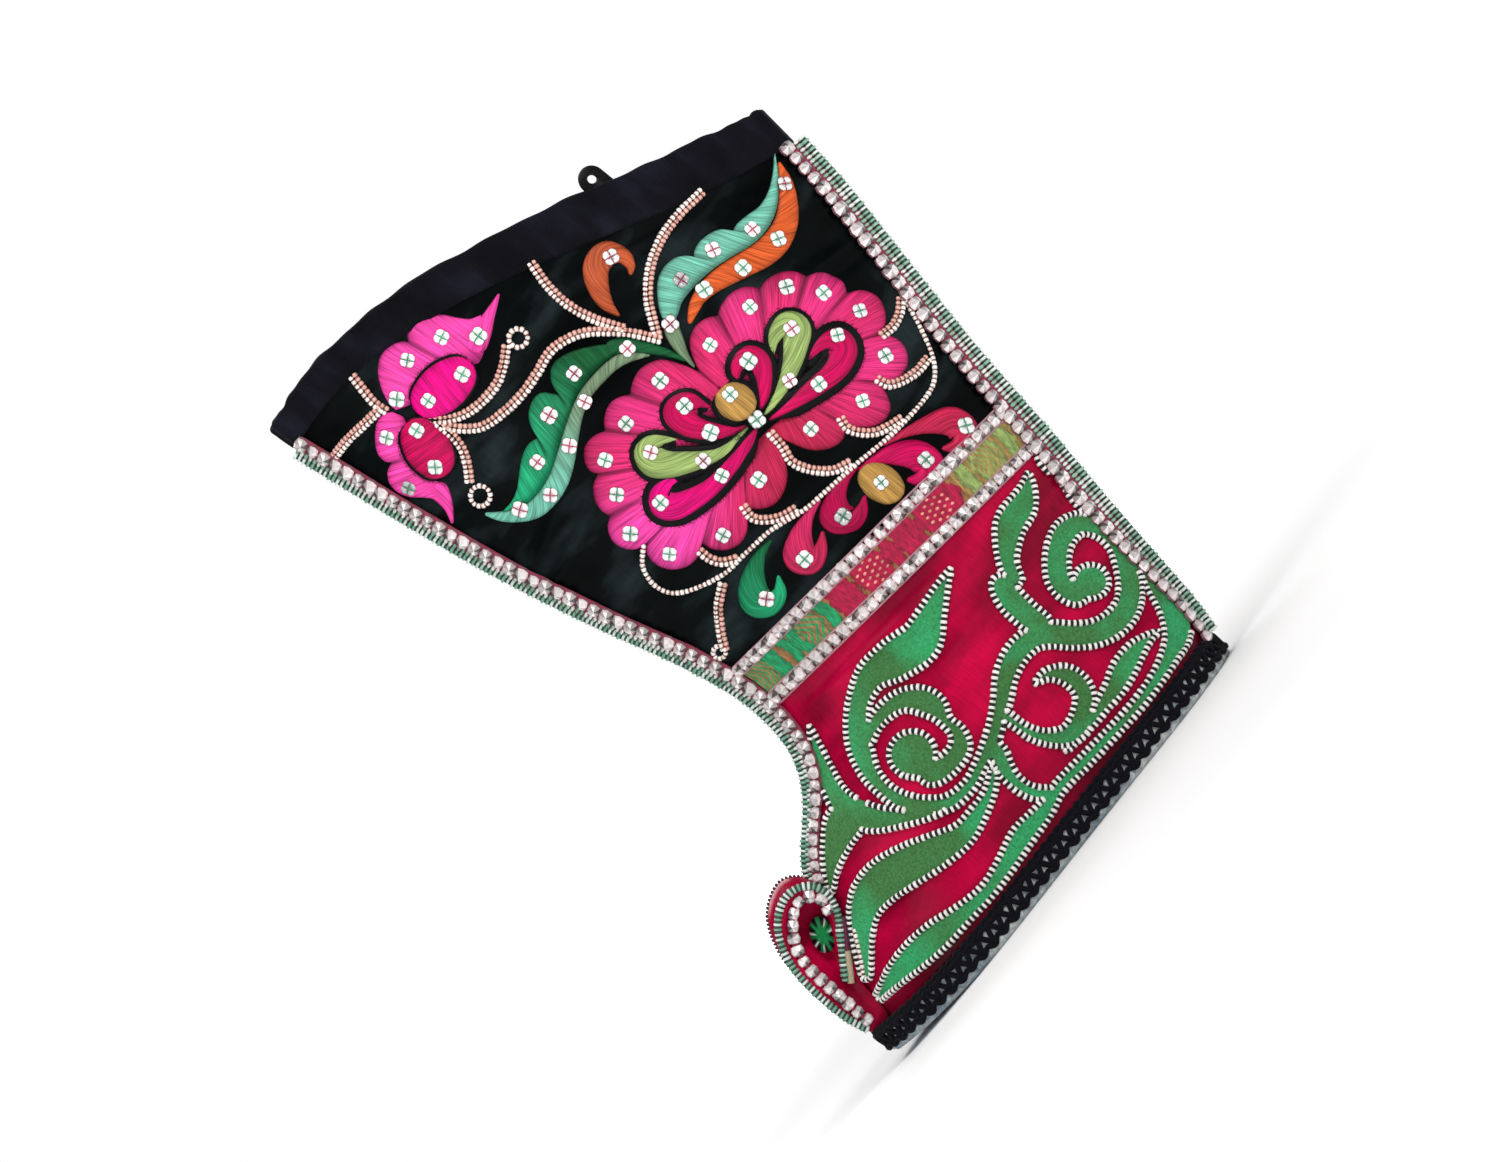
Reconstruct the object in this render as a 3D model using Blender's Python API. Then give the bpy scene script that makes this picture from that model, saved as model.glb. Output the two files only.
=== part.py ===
"""Embroidered cloth boot with a felt sole and a rolled toe, in metres with +Z up.

+X points to the toe and +Y to the side that the camera would see, with the origin on the floor
under the middle of the sole. The tables give millimetres: x forward from the back of the heel and
z up from the floor. Two side panels meet in a front seam and a back seam, so each level of the boot
is a lens between those seams, and near the floor the lens takes on the outline of the sole.
"""

import math

import bmesh
import bpy
from mathutils import Matrix, Vector

MM = 0.001
ORIGIN_X = 105.0
GAP = 0.3

# Felt sole
SOLE_BACK = -3.0
SOLE_FRONT = 241.0
SOLE_HEIGHT = 13.0
SPRING_START = 165.0
TOE_SPRING = 5.0
SOLE_MARGIN = 1.6
SOLE_COLUMNS = ("along", "fullness")
SOLE_OUTLINE = (
    (-1.00, 51.0),
    (-0.75, 46.0),
    (-0.45, 37.5),
    (-0.15, 34.5),
    (0.15, 38.5),
    (0.40, 44.5),
    (0.65, 47.0),
    (0.85, 45.0),
    (1.00, 39.0),
)
SOLE_EDGE_COLUMNS = ("height", "inset")
SOLE_EDGE = (
    (0.0, 2.4),
    (1.6, 0.5),
    (4.2, 0.0),
    (5.4, 1.0),
    (11.6, 0.7),
    (13.0, 1.8),
)

# Insole
INSOLE_HEIGHT = 3.0
INSOLE_CLEARANCE = 0.9

# Cloth walls
WALL = 2.0
SECTION_COLUMNS = (
    "level", "back_x", "back_z", "front_x", "front_z",
    "half_width", "pinch", "sole_share", "crown", "lean",
)
SECTIONS = (
    (15.0, -1.0, 13.3, 230.0, 13.3, 36.0, 0.10, 1.00, 0.0, 0.0),
    (36.0, -6.0, 33.0, 225.5, 38.0, 36.0, 0.22, 0.78, 0.0, 0.0),
    (58.0, -10.0, 55.0, 212.0, 61.0, 36.5, 0.32, 0.42, 0.0, 0.0),
    (84.0, -14.5, 80.0, 198.5, 88.0, 35.5, 0.38, 0.14, 0.0, 0.0),
    (108.0, -19.0, 104.0, 170.0, 111.0, 34.0, 0.38, 0.00, 0.0, 0.0),
    (125.0, -22.0, 119.0, 157.5, 130.0, 33.5, 0.36, 0.00, 0.0, 0.0),
    (143.0, -24.5, 132.0, 153.0, 154.0, 33.0, 0.35, 0.00, 0.0, 0.0),
    (164.0, -28.0, 153.0, 154.0, 175.0, 33.0, 0.35, 0.00, 0.0, 0.0),
    (194.0, -34.0, 186.0, 159.0, 202.0, 34.0, 0.35, 0.00, 0.0, 0.0),
    (238.0, -44.5, 233.0, 169.5, 243.0, 37.0, 0.35, 0.00, 0.0, 0.0),
    (286.0, -54.5, 277.0, 180.0, 293.0, 40.0, 0.35, 0.00, 2.0, 0.6),
    (325.0, -57.5, 295.0, 187.5, 342.0, 41.0, 0.35, 0.00, 6.5, 1.2),
    (367.0, -59.5, 308.0, 195.0, 400.0, 42.0, 0.34, 0.00, 13.0, 1.4),
    (388.0, -62.0, 329.0, 196.0, 414.0, 42.0, 0.34, 0.00, 17.0, 0.8),
)
AROUND = 56
SOLE_LEVEL = SECTIONS[0][0]
JOIN_LEVEL = 153.5
BINDING_LEVEL = SECTIONS[-2][0]
COLLAR_LEVEL = SECTIONS[-1][0]
UPPER_LEVELS = (15.0, 24.0, 36.0, 47.0, 58.0, 71.0, 84.0, 96.0, 108.0, 118.0, 129.0, 143.0)
SHAFT_LEVELS = (164.0, 179.0, 194.0, 216.0, 238.0, 262.0, 286.0, 325.0, 367.0, 388.0)

# Ankle ribbon between two rows of foil puffs
BAND_ENDS_CLEARANCE = 0.8
BAND_ANGLE_SPACING = 0.02
BAND_COLUMNS = ("level", "thickness")
BAND_PROFILE = (
    (140.3, 1.2),
    (141.4, 3.2),
    (144.6, 3.2),
    (145.7, 1.1),
    (161.3, 1.1),
    (162.4, 3.2),
    (165.6, 3.2),
    (166.7, 1.2),
)

# Edgings over the two seams: a wrapped cord on the ridge and a foil braid on either side
EDGING_ARC = 10.5
EDGING_SEAT = 0.7
EDGING_COLUMNS = ("share", "thickness")
EDGING_HALF_PROFILE = (
    (1.00, 0.9),
    (0.88, 2.0),
    (0.32, 2.2),
    (0.20, 3.0),
)
FRONT_EDGING_START = 87.0
BACK_EDGING_START = 16.2
EDGING_END = 366.0
LEVEL_SPACING = 2.0

# Folded binding over the collar
BINDING_THICKNESS = 1.3

# Rolled toe
TOE_ROLL_CENTRE = (219.5, 66.5)
TOE_ROLL_COLUMNS = ("x", "z", "half_width", "bulge")
TOE_ROLL_OUTLINE = (
    (240.0, 19.6, 6.5, 0.0),
    (243.0, 38.0, 10.5, 0.0),
    (243.0, 57.0, 13.5, 0.0),
    (238.0, 75.0, 14.0, 1.0),
    (228.0, 88.0, 14.0, 3.0),
    (215.0, 93.0, 14.0, 3.5),
    (206.5, 89.0, 14.0, 2.0),
    (204.5, 80.0, 13.0, 0.0),
    (209.5, 69.0, 12.0, 0.0),
    (220.5, 52.5, 11.0, 0.0),
    (229.5, 36.0, 9.5, 0.0),
    (233.0, 20.0, 7.5, 0.0),
)
TOE_ROLL_STEPS = 3
TOE_ROLL_RING_COLUMNS = ("reach", "width_share", "bulge_share")
TOE_ROLL_RINGS = (
    (0.30, 0.36, 0.0),
    (0.62, 0.64, 0.0),
    (0.74, 0.95, 0.0),
    (0.96, 1.00, 0.0),
    (1.00, 0.86, 0.2),
    (1.00, 0.36, 1.0),
)
TOE_BOSS_SIZE = (4.8, 2.8, 8.0)
TOE_BOSS_TILT = math.radians(-33.0)
TOE_BOSS_Y = 9.2

# Pull tab inside the collar
PULL_ALONG = 12.0
PULL_WIDTH = 13.0
PULL_ABOVE = 13.0
PULL_BELOW = 17.0
PULL_THICKNESS = 2.2
PULL_HOLE = 2.1
PULL_ARC_STEPS = 12

# Colour, roughness and metallic value of each piece
LOOKS = {
    "sole": ((0.55, 0.56, 0.55), 0.95, 0.0),
    "insole": ((0.45, 0.40, 0.33), 0.90, 0.0),
    "upper": ((0.45, 0.01, 0.07), 0.45, 0.0),
    "shaft": ((0.010, 0.014, 0.016), 0.50, 0.0),
    "collar_binding": ((0.006, 0.006, 0.012), 0.70, 0.0),
    "front_edging": ((0.62, 0.58, 0.55), 0.35, 0.6),
    "back_edging": ((0.62, 0.58, 0.55), 0.35, 0.6),
    "ankle_band_left": ((0.35, 0.03, 0.10), 0.70, 0.0),
    "ankle_band_right": ((0.35, 0.03, 0.10), 0.70, 0.0),
    "toe_scroll": ((0.40, 0.01, 0.06), 0.45, 0.0),
    "toe_boss_left": ((0.02, 0.20, 0.09), 0.60, 0.0),
    "toe_boss_right": ((0.02, 0.20, 0.09), 0.60, 0.0),
    "pull_loop": ((0.004, 0.004, 0.005), 0.30, 0.0),
}


def smooth_value(keys, values, at):
    """Value at a place between keys, on a smooth curve through all of them."""
    last = len(keys) - 1
    i = 0
    while i < last - 1 and at > keys[i + 1]:
        i += 1
    span = keys[i + 1] - keys[i]
    part = (at - keys[i]) / span

    def slope(k):
        low = max(k - 1, 0)
        high = min(k + 1, last)
        return (values[high] - values[low]) / (keys[high] - keys[low]) * span

    step = values[i + 1] - values[i]
    start = slope(i)
    end = slope(i + 1)
    return values[i] + part * (start + part * (3 * step - 2 * start - end + part * (start + end - 2 * step)))


def column(columns, table, name):
    """One named column of a table."""
    index = columns.index(name)
    return [row[index] for row in table]


def sole_fullness(along):
    """Half width of the sole divided by the half width of a unit circle, from heel -1 to toe 1."""
    keys = column(SOLE_COLUMNS, SOLE_OUTLINE, "along")
    return smooth_value(keys, column(SOLE_COLUMNS, SOLE_OUTLINE, "fullness"), along)


def toe_rise(x):
    """Rise of the sole above its flat tread."""
    share = max(0.0, x - SPRING_START) / (SOLE_FRONT - SPRING_START)
    return TOE_SPRING * share * share


def section_at(level):
    """The named sizes of the section at a level."""
    keys = column(SECTION_COLUMNS, SECTIONS, "level")
    sizes = {}
    for name in SECTION_COLUMNS:
        sizes[name] = smooth_value(keys, column(SECTION_COLUMNS, SECTIONS, name), level)
    return sizes


def surface(theta, level):
    """A point on the outside of the cloth: theta is 0 on the front seam and pi on the back seam."""
    row = section_at(level)
    c = math.cos(theta)
    along = (1 + c) / 2
    x = row["back_x"] + (row["front_x"] - row["back_x"]) * along
    z = row["back_z"] + (row["front_z"] - row["back_z"]) * along
    z += row["crown"] * (1 - c * c) * (1 + row["lean"] * c)
    z += row["sole_share"] * toe_rise(x)
    lens = row["half_width"] * (1 - row["pinch"] * c * c)
    tread = sole_fullness(c) - SOLE_MARGIN
    y = math.sin(theta) * (row["sole_share"] * tread + (1 - row["sole_share"]) * lens)
    return Vector((x, y, z))


def surface_frame(theta, level):
    """Outward normal and upward direction of the cloth at a point."""
    turn = 0.01
    rise = 0.5
    low = max(level - rise, SOLE_LEVEL)
    high = min(level + rise, COLLAR_LEVEL)
    around = surface(theta + turn, level) - surface(theta - turn, level)
    up = surface(theta, high) - surface(theta, low)
    if level <= SOLE_LEVEL:
        up = Vector((0.0, 0.0, 1.0))
    return around.cross(up).normalized(), up.normalized()


def off_surface(theta, level, out, rise=0.0):
    """A point that stands out from the cloth and up along it."""
    normal, up = surface_frame(theta, level)
    return surface(theta, level) + normal * out + up * rise


def turns(count):
    """Angles around a section, with the seams half way between two of them."""
    return [(k + 0.5) * 2 * math.pi / count for k in range(count)]


def to_world(point):
    """Millimetres from the heel to metres from the origin."""
    return Vector(((point[0] - ORIGIN_X) * MM, point[1] * MM, point[2] * MM))


def add_object(name, mesh):
    """A named object with its own material, parented to the boot."""
    mesh.shade_smooth()
    mesh.set_sharp_from_angle(angle=math.radians(40))
    colour, roughness, metallic = LOOKS[name]
    material = bpy.data.materials.new(name)
    material.use_nodes = True
    shader = material.node_tree.nodes["Principled BSDF"]
    shader.inputs["Base Color"].default_value = (*colour, 1.0)
    shader.inputs["Roughness"].default_value = roughness
    shader.inputs["Metallic"].default_value = metallic
    mesh.materials.append(material)
    piece = bpy.data.objects.new(name, mesh)
    bpy.context.scene.collection.objects.link(piece)
    piece.parent = bpy.data.objects["embroidered_boot"]
    return piece


def add_loft(name, rings, closed):
    """A solid through rings of equal counts: closed into a hoop, or capped across each end ring."""
    count = len(rings[0])
    points = [to_world(point) for ring in rings for point in ring]
    faces = []
    for i in range(len(rings) if closed else len(rings) - 1):
        here = i * count
        there = (i + 1) % len(rings) * count
        for j in range(count):
            k = (j + 1) % count
            faces.append((here + j, here + k, there + k, there + j))
    if not closed:
        last = (len(rings) - 1) * count
        for j in range(count // 2 - 1):
            low = (j, count - 1 - j, count - 2 - j, j + 1)
            faces.append(low)
            faces.append(tuple(last + k for k in reversed(low)))
    mesh = bpy.data.meshes.new(name)
    mesh.from_pydata(points, [], faces)
    shell = bmesh.new()
    shell.from_mesh(mesh)
    bmesh.ops.recalc_face_normals(shell, faces=shell.faces)
    shell.to_mesh(mesh)
    shell.free()
    return add_object(name, mesh)


def add_sole():
    """Felt slab with a flat tread, a sprung toe and a stepped edge."""
    middle = (SOLE_FRONT + SOLE_BACK) / 2
    half_length = (SOLE_FRONT - SOLE_BACK) / 2
    rings = []
    for height, inset in SOLE_EDGE:
        ring = []
        for theta in turns(AROUND):
            c = math.cos(theta)
            x = middle + (half_length - inset) * c
            y = (sole_fullness(c) - inset) * math.sin(theta)
            ring.append((x, y, height + toe_rise(x)))
        rings.append(ring)
    return add_loft("sole", rings, closed=False)


def add_insole():
    """Thin felt sock that lies on the sole inside the upper."""
    rings = []
    for rise in (0.0, INSOLE_HEIGHT):
        ring = []
        for theta in turns(AROUND):
            wall = off_surface(theta, SOLE_LEVEL, -WALL - INSOLE_CLEARANCE)
            ring.append((wall.x, wall.y, SOLE_HEIGHT + GAP + rise + toe_rise(wall.x)))
        rings.append(ring)
    return add_loft("insole", rings, closed=False)


def add_cloth_wall(name, levels):
    """Hollow wall of the cloth between its lowest and highest level, open at both."""
    rings = []
    for theta in turns(AROUND):
        outside = [surface(theta, level) for level in levels]
        inside = [off_surface(theta, level, -WALL) for level in reversed(levels)]
        rings.append(outside + inside)
    return add_loft(name, rings, closed=True)


def add_binding():
    """Cloth strip folded over the collar, outside and inside."""
    near = GAP
    far = GAP + BINDING_THICKNESS
    round_over = 0.6
    rings = []
    for theta in turns(AROUND):
        rings.append((
            off_surface(theta, BINDING_LEVEL, near),
            off_surface(theta, BINDING_LEVEL, far),
            off_surface(theta, COLLAR_LEVEL, far),
            off_surface(theta, COLLAR_LEVEL, near + round_over, far),
            off_surface(theta, COLLAR_LEVEL, -WALL - near - round_over, far),
            off_surface(theta, COLLAR_LEVEL, -WALL - far),
            off_surface(theta, BINDING_LEVEL, -WALL - far),
            off_surface(theta, BINDING_LEVEL, -WALL - near),
            off_surface(theta, COLLAR_LEVEL, -WALL - near, near),
            off_surface(theta, COLLAR_LEVEL, near, near),
        ))
    return add_loft("collar_binding", rings, closed=True)


def seam_reach(level, seam, arc):
    """Angle from a seam at which the cloth has run a given length around the boot."""
    step = 0.01
    run = 0.0
    angle = 0.0
    here = surface(seam, level)
    while run < arc:
        angle += step
        there = surface(seam + angle, level)
        run += (there - here).length
        here = there
    return angle


def add_edging(name, seam, start):
    """Raised trim that wraps a seam from a start level up to the binding."""
    between = [level for level in UPPER_LEVELS + SHAFT_LEVELS if start + LEVEL_SPACING < level < EDGING_END]
    profile = [(-share, thickness) for share, thickness in EDGING_HALF_PROFILE]
    profile += reversed(EDGING_HALF_PROFILE)
    rings = []
    for level in [start] + between + [EDGING_END]:
        reach = seam_reach(level, seam, EDGING_ARC)
        ring = []
        for share, thickness in profile:
            ring.append(off_surface(seam + share * reach, level, EDGING_SEAT + thickness))
        for share, _ in reversed(profile):
            ring.append(off_surface(seam + share * reach, level, EDGING_SEAT))
        rings.append(ring)
    return add_loft(name, rings, closed=False)


def add_ankle_band(name, side):
    """Ribbon between two ribs on one side of the ankle, from the front edging to the back one."""
    level = (BAND_PROFILE[0][0] + BAND_PROFILE[-1][0]) / 2
    arc = EDGING_ARC + BAND_ENDS_CLEARANCE
    first = seam_reach(level, 0.0, arc)
    last = math.pi - seam_reach(level, math.pi, arc)
    low = first + BAND_ANGLE_SPACING
    high = last - BAND_ANGLE_SPACING
    between = [theta for theta in turns(AROUND) if low < theta < high]
    rings = []
    for theta in [first] + between + [last]:
        outer = [off_surface(side * theta, height, GAP + thickness) for height, thickness in BAND_PROFILE]
        inner = [off_surface(side * theta, height, GAP) for height, _ in reversed(BAND_PROFILE)]
        rings.append(outer + inner)
    return add_loft(name, rings, closed=False)


def toe_roll_rows():
    """The rolled toe's outline as a smooth closed curve, with its width and bulge."""
    count = len(TOE_ROLL_OUTLINE)
    rows = []
    for i in range(count):
        before, start, end, after = (TOE_ROLL_OUTLINE[(i + k) % count] for k in (-1, 0, 1, 2))
        for step in range(TOE_ROLL_STEPS):
            t = step / TOE_ROLL_STEPS
            row = {}
            for name, p, q, r, s in zip(TOE_ROLL_COLUMNS, before, start, end, after):
                bend = 2 * p - 5 * q + 4 * r - s
                row[name] = q + 0.5 * t * (r - p + t * (bend + t * (3 * (q - r) + s - p)))
            rows.append(row)
    return rows


def add_toe_scroll():
    """Padded roll on the toe, dished on both sides around its middle."""
    centre_x, centre_z = TOE_ROLL_CENTRE
    half = [(reach, -width, bulge) for reach, width, bulge in TOE_ROLL_RINGS]
    mirrored = [(reach, -width, bulge) for reach, width, bulge in reversed(half)]
    rings = []
    for reach, width, bulge in half + mirrored:
        ring = []
        for row in toe_roll_rows():
            spoke = Vector((row["x"] - centre_x, 0.0, row["z"] - centre_z))
            point = spoke * reach + spoke.normalized() * bulge * row["bulge"]
            ring.append((centre_x + point.x, width * row["half_width"], centre_z + point.z))
        rings.append(ring)
    return add_loft("toe_scroll", rings, closed=False)


def add_toe_boss(name, side):
    """Oval button in the dish of the rolled toe."""
    shell = bmesh.new()
    bmesh.ops.create_uvsphere(shell, u_segments=12, v_segments=8, radius=1.0)
    size = Matrix.Diagonal((*(value * MM for value in TOE_BOSS_SIZE), 1.0))
    bmesh.ops.transform(shell, matrix=size, verts=shell.verts)
    mesh = bpy.data.meshes.new(name)
    shell.to_mesh(mesh)
    shell.free()
    piece = add_object(name, mesh)
    centre_x, centre_z = TOE_ROLL_CENTRE
    piece.location = to_world((centre_x, side * TOE_BOSS_Y, centre_z))
    piece.rotation_euler = (0.0, TOE_BOSS_TILT, 0.0)
    return piece


def add_pull_loop():
    """Tab with a round eye, sewn inside the collar and standing above it."""
    row = section_at(COLLAR_LEVEL)
    share = (PULL_ALONG - row["back_x"]) / (row["front_x"] - row["back_x"])
    theta = math.acos(2 * share - 1)
    normal, _ = surface_frame(theta, COLLAR_LEVEL)
    up = (Vector((0.0, 0.0, 1.0)) - normal * normal.z).normalized()
    across = up.cross(normal)
    seat = -WALL - 2 * GAP - BINDING_THICKNESS - PULL_THICKNESS / 2
    radius = PULL_WIDTH / 2
    top = PULL_ABOVE - radius
    outline = [(-radius, -PULL_BELOW), (radius, -PULL_BELOW)]
    for k in range(PULL_ARC_STEPS + 1):
        turn = math.pi * k / PULL_ARC_STEPS
        outline.append((radius * math.cos(turn), top + radius * math.sin(turn)))
    shell = bmesh.new()
    corners = [shell.verts.new((u * MM, v * MM, -PULL_THICKNESS / 2 * MM)) for u, v in outline]
    plate = shell.faces.new(corners)
    raised = bmesh.ops.extrude_face_region(shell, geom=[plate])["geom"]
    lifted = [item for item in raised if isinstance(item, bmesh.types.BMVert)]
    bmesh.ops.translate(shell, vec=(0.0, 0.0, PULL_THICKNESS * MM), verts=lifted)
    bmesh.ops.recalc_face_normals(shell, faces=shell.faces)
    mesh = bpy.data.meshes.new("pull_loop")
    shell.to_mesh(mesh)
    shell.free()
    piece = add_object("pull_loop", mesh)
    axes = Matrix((across, up, normal)).transposed().to_4x4()
    piece.matrix_world = Matrix.Translation(to_world(off_surface(theta, COLLAR_LEVEL, seat))) @ axes

    cutter_shell = bmesh.new()
    bmesh.ops.create_cone(
        cutter_shell, cap_ends=True, segments=16, radius1=PULL_HOLE * MM, radius2=PULL_HOLE * MM,
        depth=4 * PULL_THICKNESS * MM, matrix=Matrix.Translation((0.0, top * MM, 0.0)),
    )
    cutter_mesh = bpy.data.meshes.new("pull_eye_cutter")
    cutter_shell.to_mesh(cutter_mesh)
    cutter_shell.free()
    cutter = bpy.data.objects.new("pull_eye_cutter", cutter_mesh)
    bpy.context.scene.collection.objects.link(cutter)
    cutter.parent = piece
    cutter.hide_render = True
    cutter.display_type = "WIRE"
    eye = piece.modifiers.new("eye", "BOOLEAN")
    eye.operation = "DIFFERENCE"
    eye.solver = "EXACT"
    eye.object = cutter
    return piece


def main():
    for old in list(bpy.data.objects):
        bpy.data.objects.remove(old)
    root = bpy.data.objects.new("embroidered_boot", None)
    bpy.context.scene.collection.objects.link(root)

    add_sole()
    add_insole()
    add_cloth_wall("upper", (*UPPER_LEVELS, JOIN_LEVEL - GAP))
    add_cloth_wall("shaft", (JOIN_LEVEL + GAP, *SHAFT_LEVELS))
    add_binding()
    add_edging("front_edging", 0.0, FRONT_EDGING_START)
    add_edging("back_edging", math.pi, BACK_EDGING_START)
    add_ankle_band("ankle_band_left", 1)
    add_ankle_band("ankle_band_right", -1)
    add_toe_scroll()
    add_toe_boss("toe_boss_left", 1)
    add_toe_boss("toe_boss_right", -1)
    add_pull_loop()


main()
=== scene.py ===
"""Embroidered boot: cloth, felt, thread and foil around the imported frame.

Lengths in the tables are millimetres. On a side panel, x runs forward from the back of the heel and z up
from the line through the two ends of the sole, as the panel lies flat before it is sewn to the sole.
Everything on a panel is placed through the shape of the last, so it sits on the cloth from every side,
and the far panel mirrors the near one.
"""

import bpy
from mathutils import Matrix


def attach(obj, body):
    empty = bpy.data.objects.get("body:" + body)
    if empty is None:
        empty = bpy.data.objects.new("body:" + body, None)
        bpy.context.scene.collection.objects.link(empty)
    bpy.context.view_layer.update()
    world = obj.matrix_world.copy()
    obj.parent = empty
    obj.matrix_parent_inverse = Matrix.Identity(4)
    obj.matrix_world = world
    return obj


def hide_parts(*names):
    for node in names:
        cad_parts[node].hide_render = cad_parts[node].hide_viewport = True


bl_info = {
    "name": "Embroidered boot",
    "version": (1, 0, 0),
    "blender": (4, 5, 0),
    "location": "3D View > Sidebar > Boot",
    "description": "Builds an embroidered cloth boot with a felt sole and a rolled toe",
    "category": "Add Mesh",
}

import math

import bmesh
import bpy
import numpy as np
from mathutils import Matrix, Vector

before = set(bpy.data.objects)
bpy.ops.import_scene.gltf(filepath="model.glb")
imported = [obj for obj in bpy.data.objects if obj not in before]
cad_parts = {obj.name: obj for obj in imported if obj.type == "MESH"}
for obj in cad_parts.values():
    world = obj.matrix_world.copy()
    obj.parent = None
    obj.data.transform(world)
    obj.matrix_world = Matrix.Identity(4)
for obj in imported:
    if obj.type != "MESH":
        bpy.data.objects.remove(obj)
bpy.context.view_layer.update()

MM = 0.001
BODY = "root"

# Shape of the last, as in the frame
ORIGIN_X = 105.0
SOLE_BACK = -3.0
SOLE_FRONT = 241.0
SPRING_START = 165.0
TOE_SPRING = 5.0
SOLE_MARGIN = 1.6
WALL = 2.0
SOLE_OUTLINE = np.array((
    # along, fullness
    (-1.00, 51.0), (-0.75, 46.0), (-0.45, 37.5), (-0.15, 34.5), (0.15, 38.5),
    (0.40, 44.5), (0.65, 47.0), (0.85, 45.0), (1.00, 39.0),
))
SOLE_EDGE = np.array((
    # height, inset
    (0.0, 2.4), (1.6, 0.5), (4.2, 0.0), (5.4, 1.0), (11.6, 0.7), (13.0, 1.8),
))
SECTION_COLUMNS = (
    "level", "back_x", "back_z", "front_x", "front_z",
    "half_width", "pinch", "sole_share", "crown", "lean",
)
SECTIONS = np.array((
    (15.0, -1.0, 13.3, 230.0, 13.3, 36.0, 0.10, 1.00, 0.0, 0.0),
    (36.0, -6.0, 33.0, 225.5, 38.0, 36.0, 0.22, 0.78, 0.0, 0.0),
    (58.0, -10.0, 55.0, 212.0, 61.0, 36.5, 0.32, 0.42, 0.0, 0.0),
    (84.0, -14.5, 80.0, 198.5, 88.0, 35.5, 0.38, 0.14, 0.0, 0.0),
    (108.0, -19.0, 104.0, 170.0, 111.0, 34.0, 0.38, 0.00, 0.0, 0.0),
    (125.0, -22.0, 119.0, 157.5, 130.0, 33.5, 0.36, 0.00, 0.0, 0.0),
    (143.0, -24.5, 132.0, 153.0, 154.0, 33.0, 0.35, 0.00, 0.0, 0.0),
    (164.0, -28.0, 153.0, 154.0, 175.0, 33.0, 0.35, 0.00, 0.0, 0.0),
    (194.0, -34.0, 186.0, 159.0, 202.0, 34.0, 0.35, 0.00, 0.0, 0.0),
    (238.0, -44.5, 233.0, 169.5, 243.0, 37.0, 0.35, 0.00, 0.0, 0.0),
    (286.0, -54.5, 277.0, 180.0, 293.0, 40.0, 0.35, 0.00, 2.0, 0.6),
    (325.0, -57.5, 295.0, 187.5, 342.0, 41.0, 0.35, 0.00, 6.5, 1.2),
    (367.0, -59.5, 308.0, 195.0, 400.0, 42.0, 0.34, 0.00, 13.0, 1.4),
    (388.0, -62.0, 329.0, 196.0, 414.0, 42.0, 0.34, 0.00, 17.0, 0.8),
))
SOLE_LEVEL = SECTIONS[0, 0]
COLLAR_LEVEL = SECTIONS[-1, 0]
BINDING_LEVEL = SECTIONS[-2, 0]
JOIN_LEVEL = 153.5
BAND_LEVELS = (143.0, 164.0)
FRONT_SEAM = 0.0
BACK_SEAM = math.pi
QUARTER = math.pi / 2

# How a flat panel comes to stand on the flat sole
PANEL_RISE = 13.0
HEEL_DROP = 10.0
HEEL_REACH = 100.0
DROP_FADE = 250.0
DROP_FADED = 0.6

# Soft creases of the cloth, on both sides: ridges have a positive depth and troughs a negative one
CREASES = np.array((
    # x, z, angle, length, width, depth
    (108.0, 138.5, 7.0, 40.0, 3.6, -1.8),
    (98.0, 131.5, 9.0, 42.0, 4.2, 2.0),
    (66.0, 95.0, -2.0, 22.0, 4.0, -0.9),
    (70.0, 104.0, -4.0, 26.0, 5.0, 0.7),
    (150.0, 283.0, -12.0, 18.0, 3.2, 2.2),
    (146.0, 276.0, -14.0, 20.0, 3.2, -2.0),
    (156.0, 269.0, -8.0, 16.0, 3.0, 1.6),
    (-22.0, 262.0, 14.0, 16.0, 3.0, 1.8),
    (-20.0, 255.0, 12.0, 15.0, 3.0, -1.8),
    (120.0, 338.0, 12.0, 30.0, 6.0, -1.2),
    (10.0, 330.0, 24.0, 34.0, 5.0, -1.4),
    (60.0, 340.0, 30.0, 28.0, 6.0, 1.0),
    (150.0, 215.0, 80.0, 26.0, 5.0, 1.0),
    (136.0, 196.0, 8.0, 22.0, 4.0, -0.9),
    (180.0, 58.0, -34.0, 18.0, 5.0, -0.7),
    (6.0, 60.0, 70.0, 24.0, 6.0, -0.8),
))


def srgb(red, green, blue):
    """A colour of 0 to 255 values as Blender's linear numbers."""
    linear = []
    for value in (red, green, blue):
        share = value / 255
        linear.append(share / 12.92 if share <= 0.04045 else ((share + 0.055) / 1.055) ** 2.4)
    return tuple(linear)


# Silk of the embroidery
SILK = {
    "hot_pink": srgb(238, 68, 162),
    "pink": srgb(222, 50, 124),
    "coral": srgb(184, 34, 72),
    "rose": srgb(206, 40, 100),
    "magenta": srgb(228, 0, 128),
    "crimson": srgb(192, 2, 82),
    "olive": srgb(150, 174, 102),
    "gold": srgb(180, 138, 72),
    "jade": srgb(30, 160, 110),
    "emerald": srgb(34, 136, 92),
    "leaf_green": srgb(16, 86, 46),
    "mint": srgb(110, 182, 160),
    "sage": srgb(112, 134, 104),
    "orange": srgb(206, 88, 38),
    "russet": srgb(176, 80, 46),
    "wine": srgb(170, 2, 68),
    "black": srgb(9, 7, 10),
}

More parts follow.
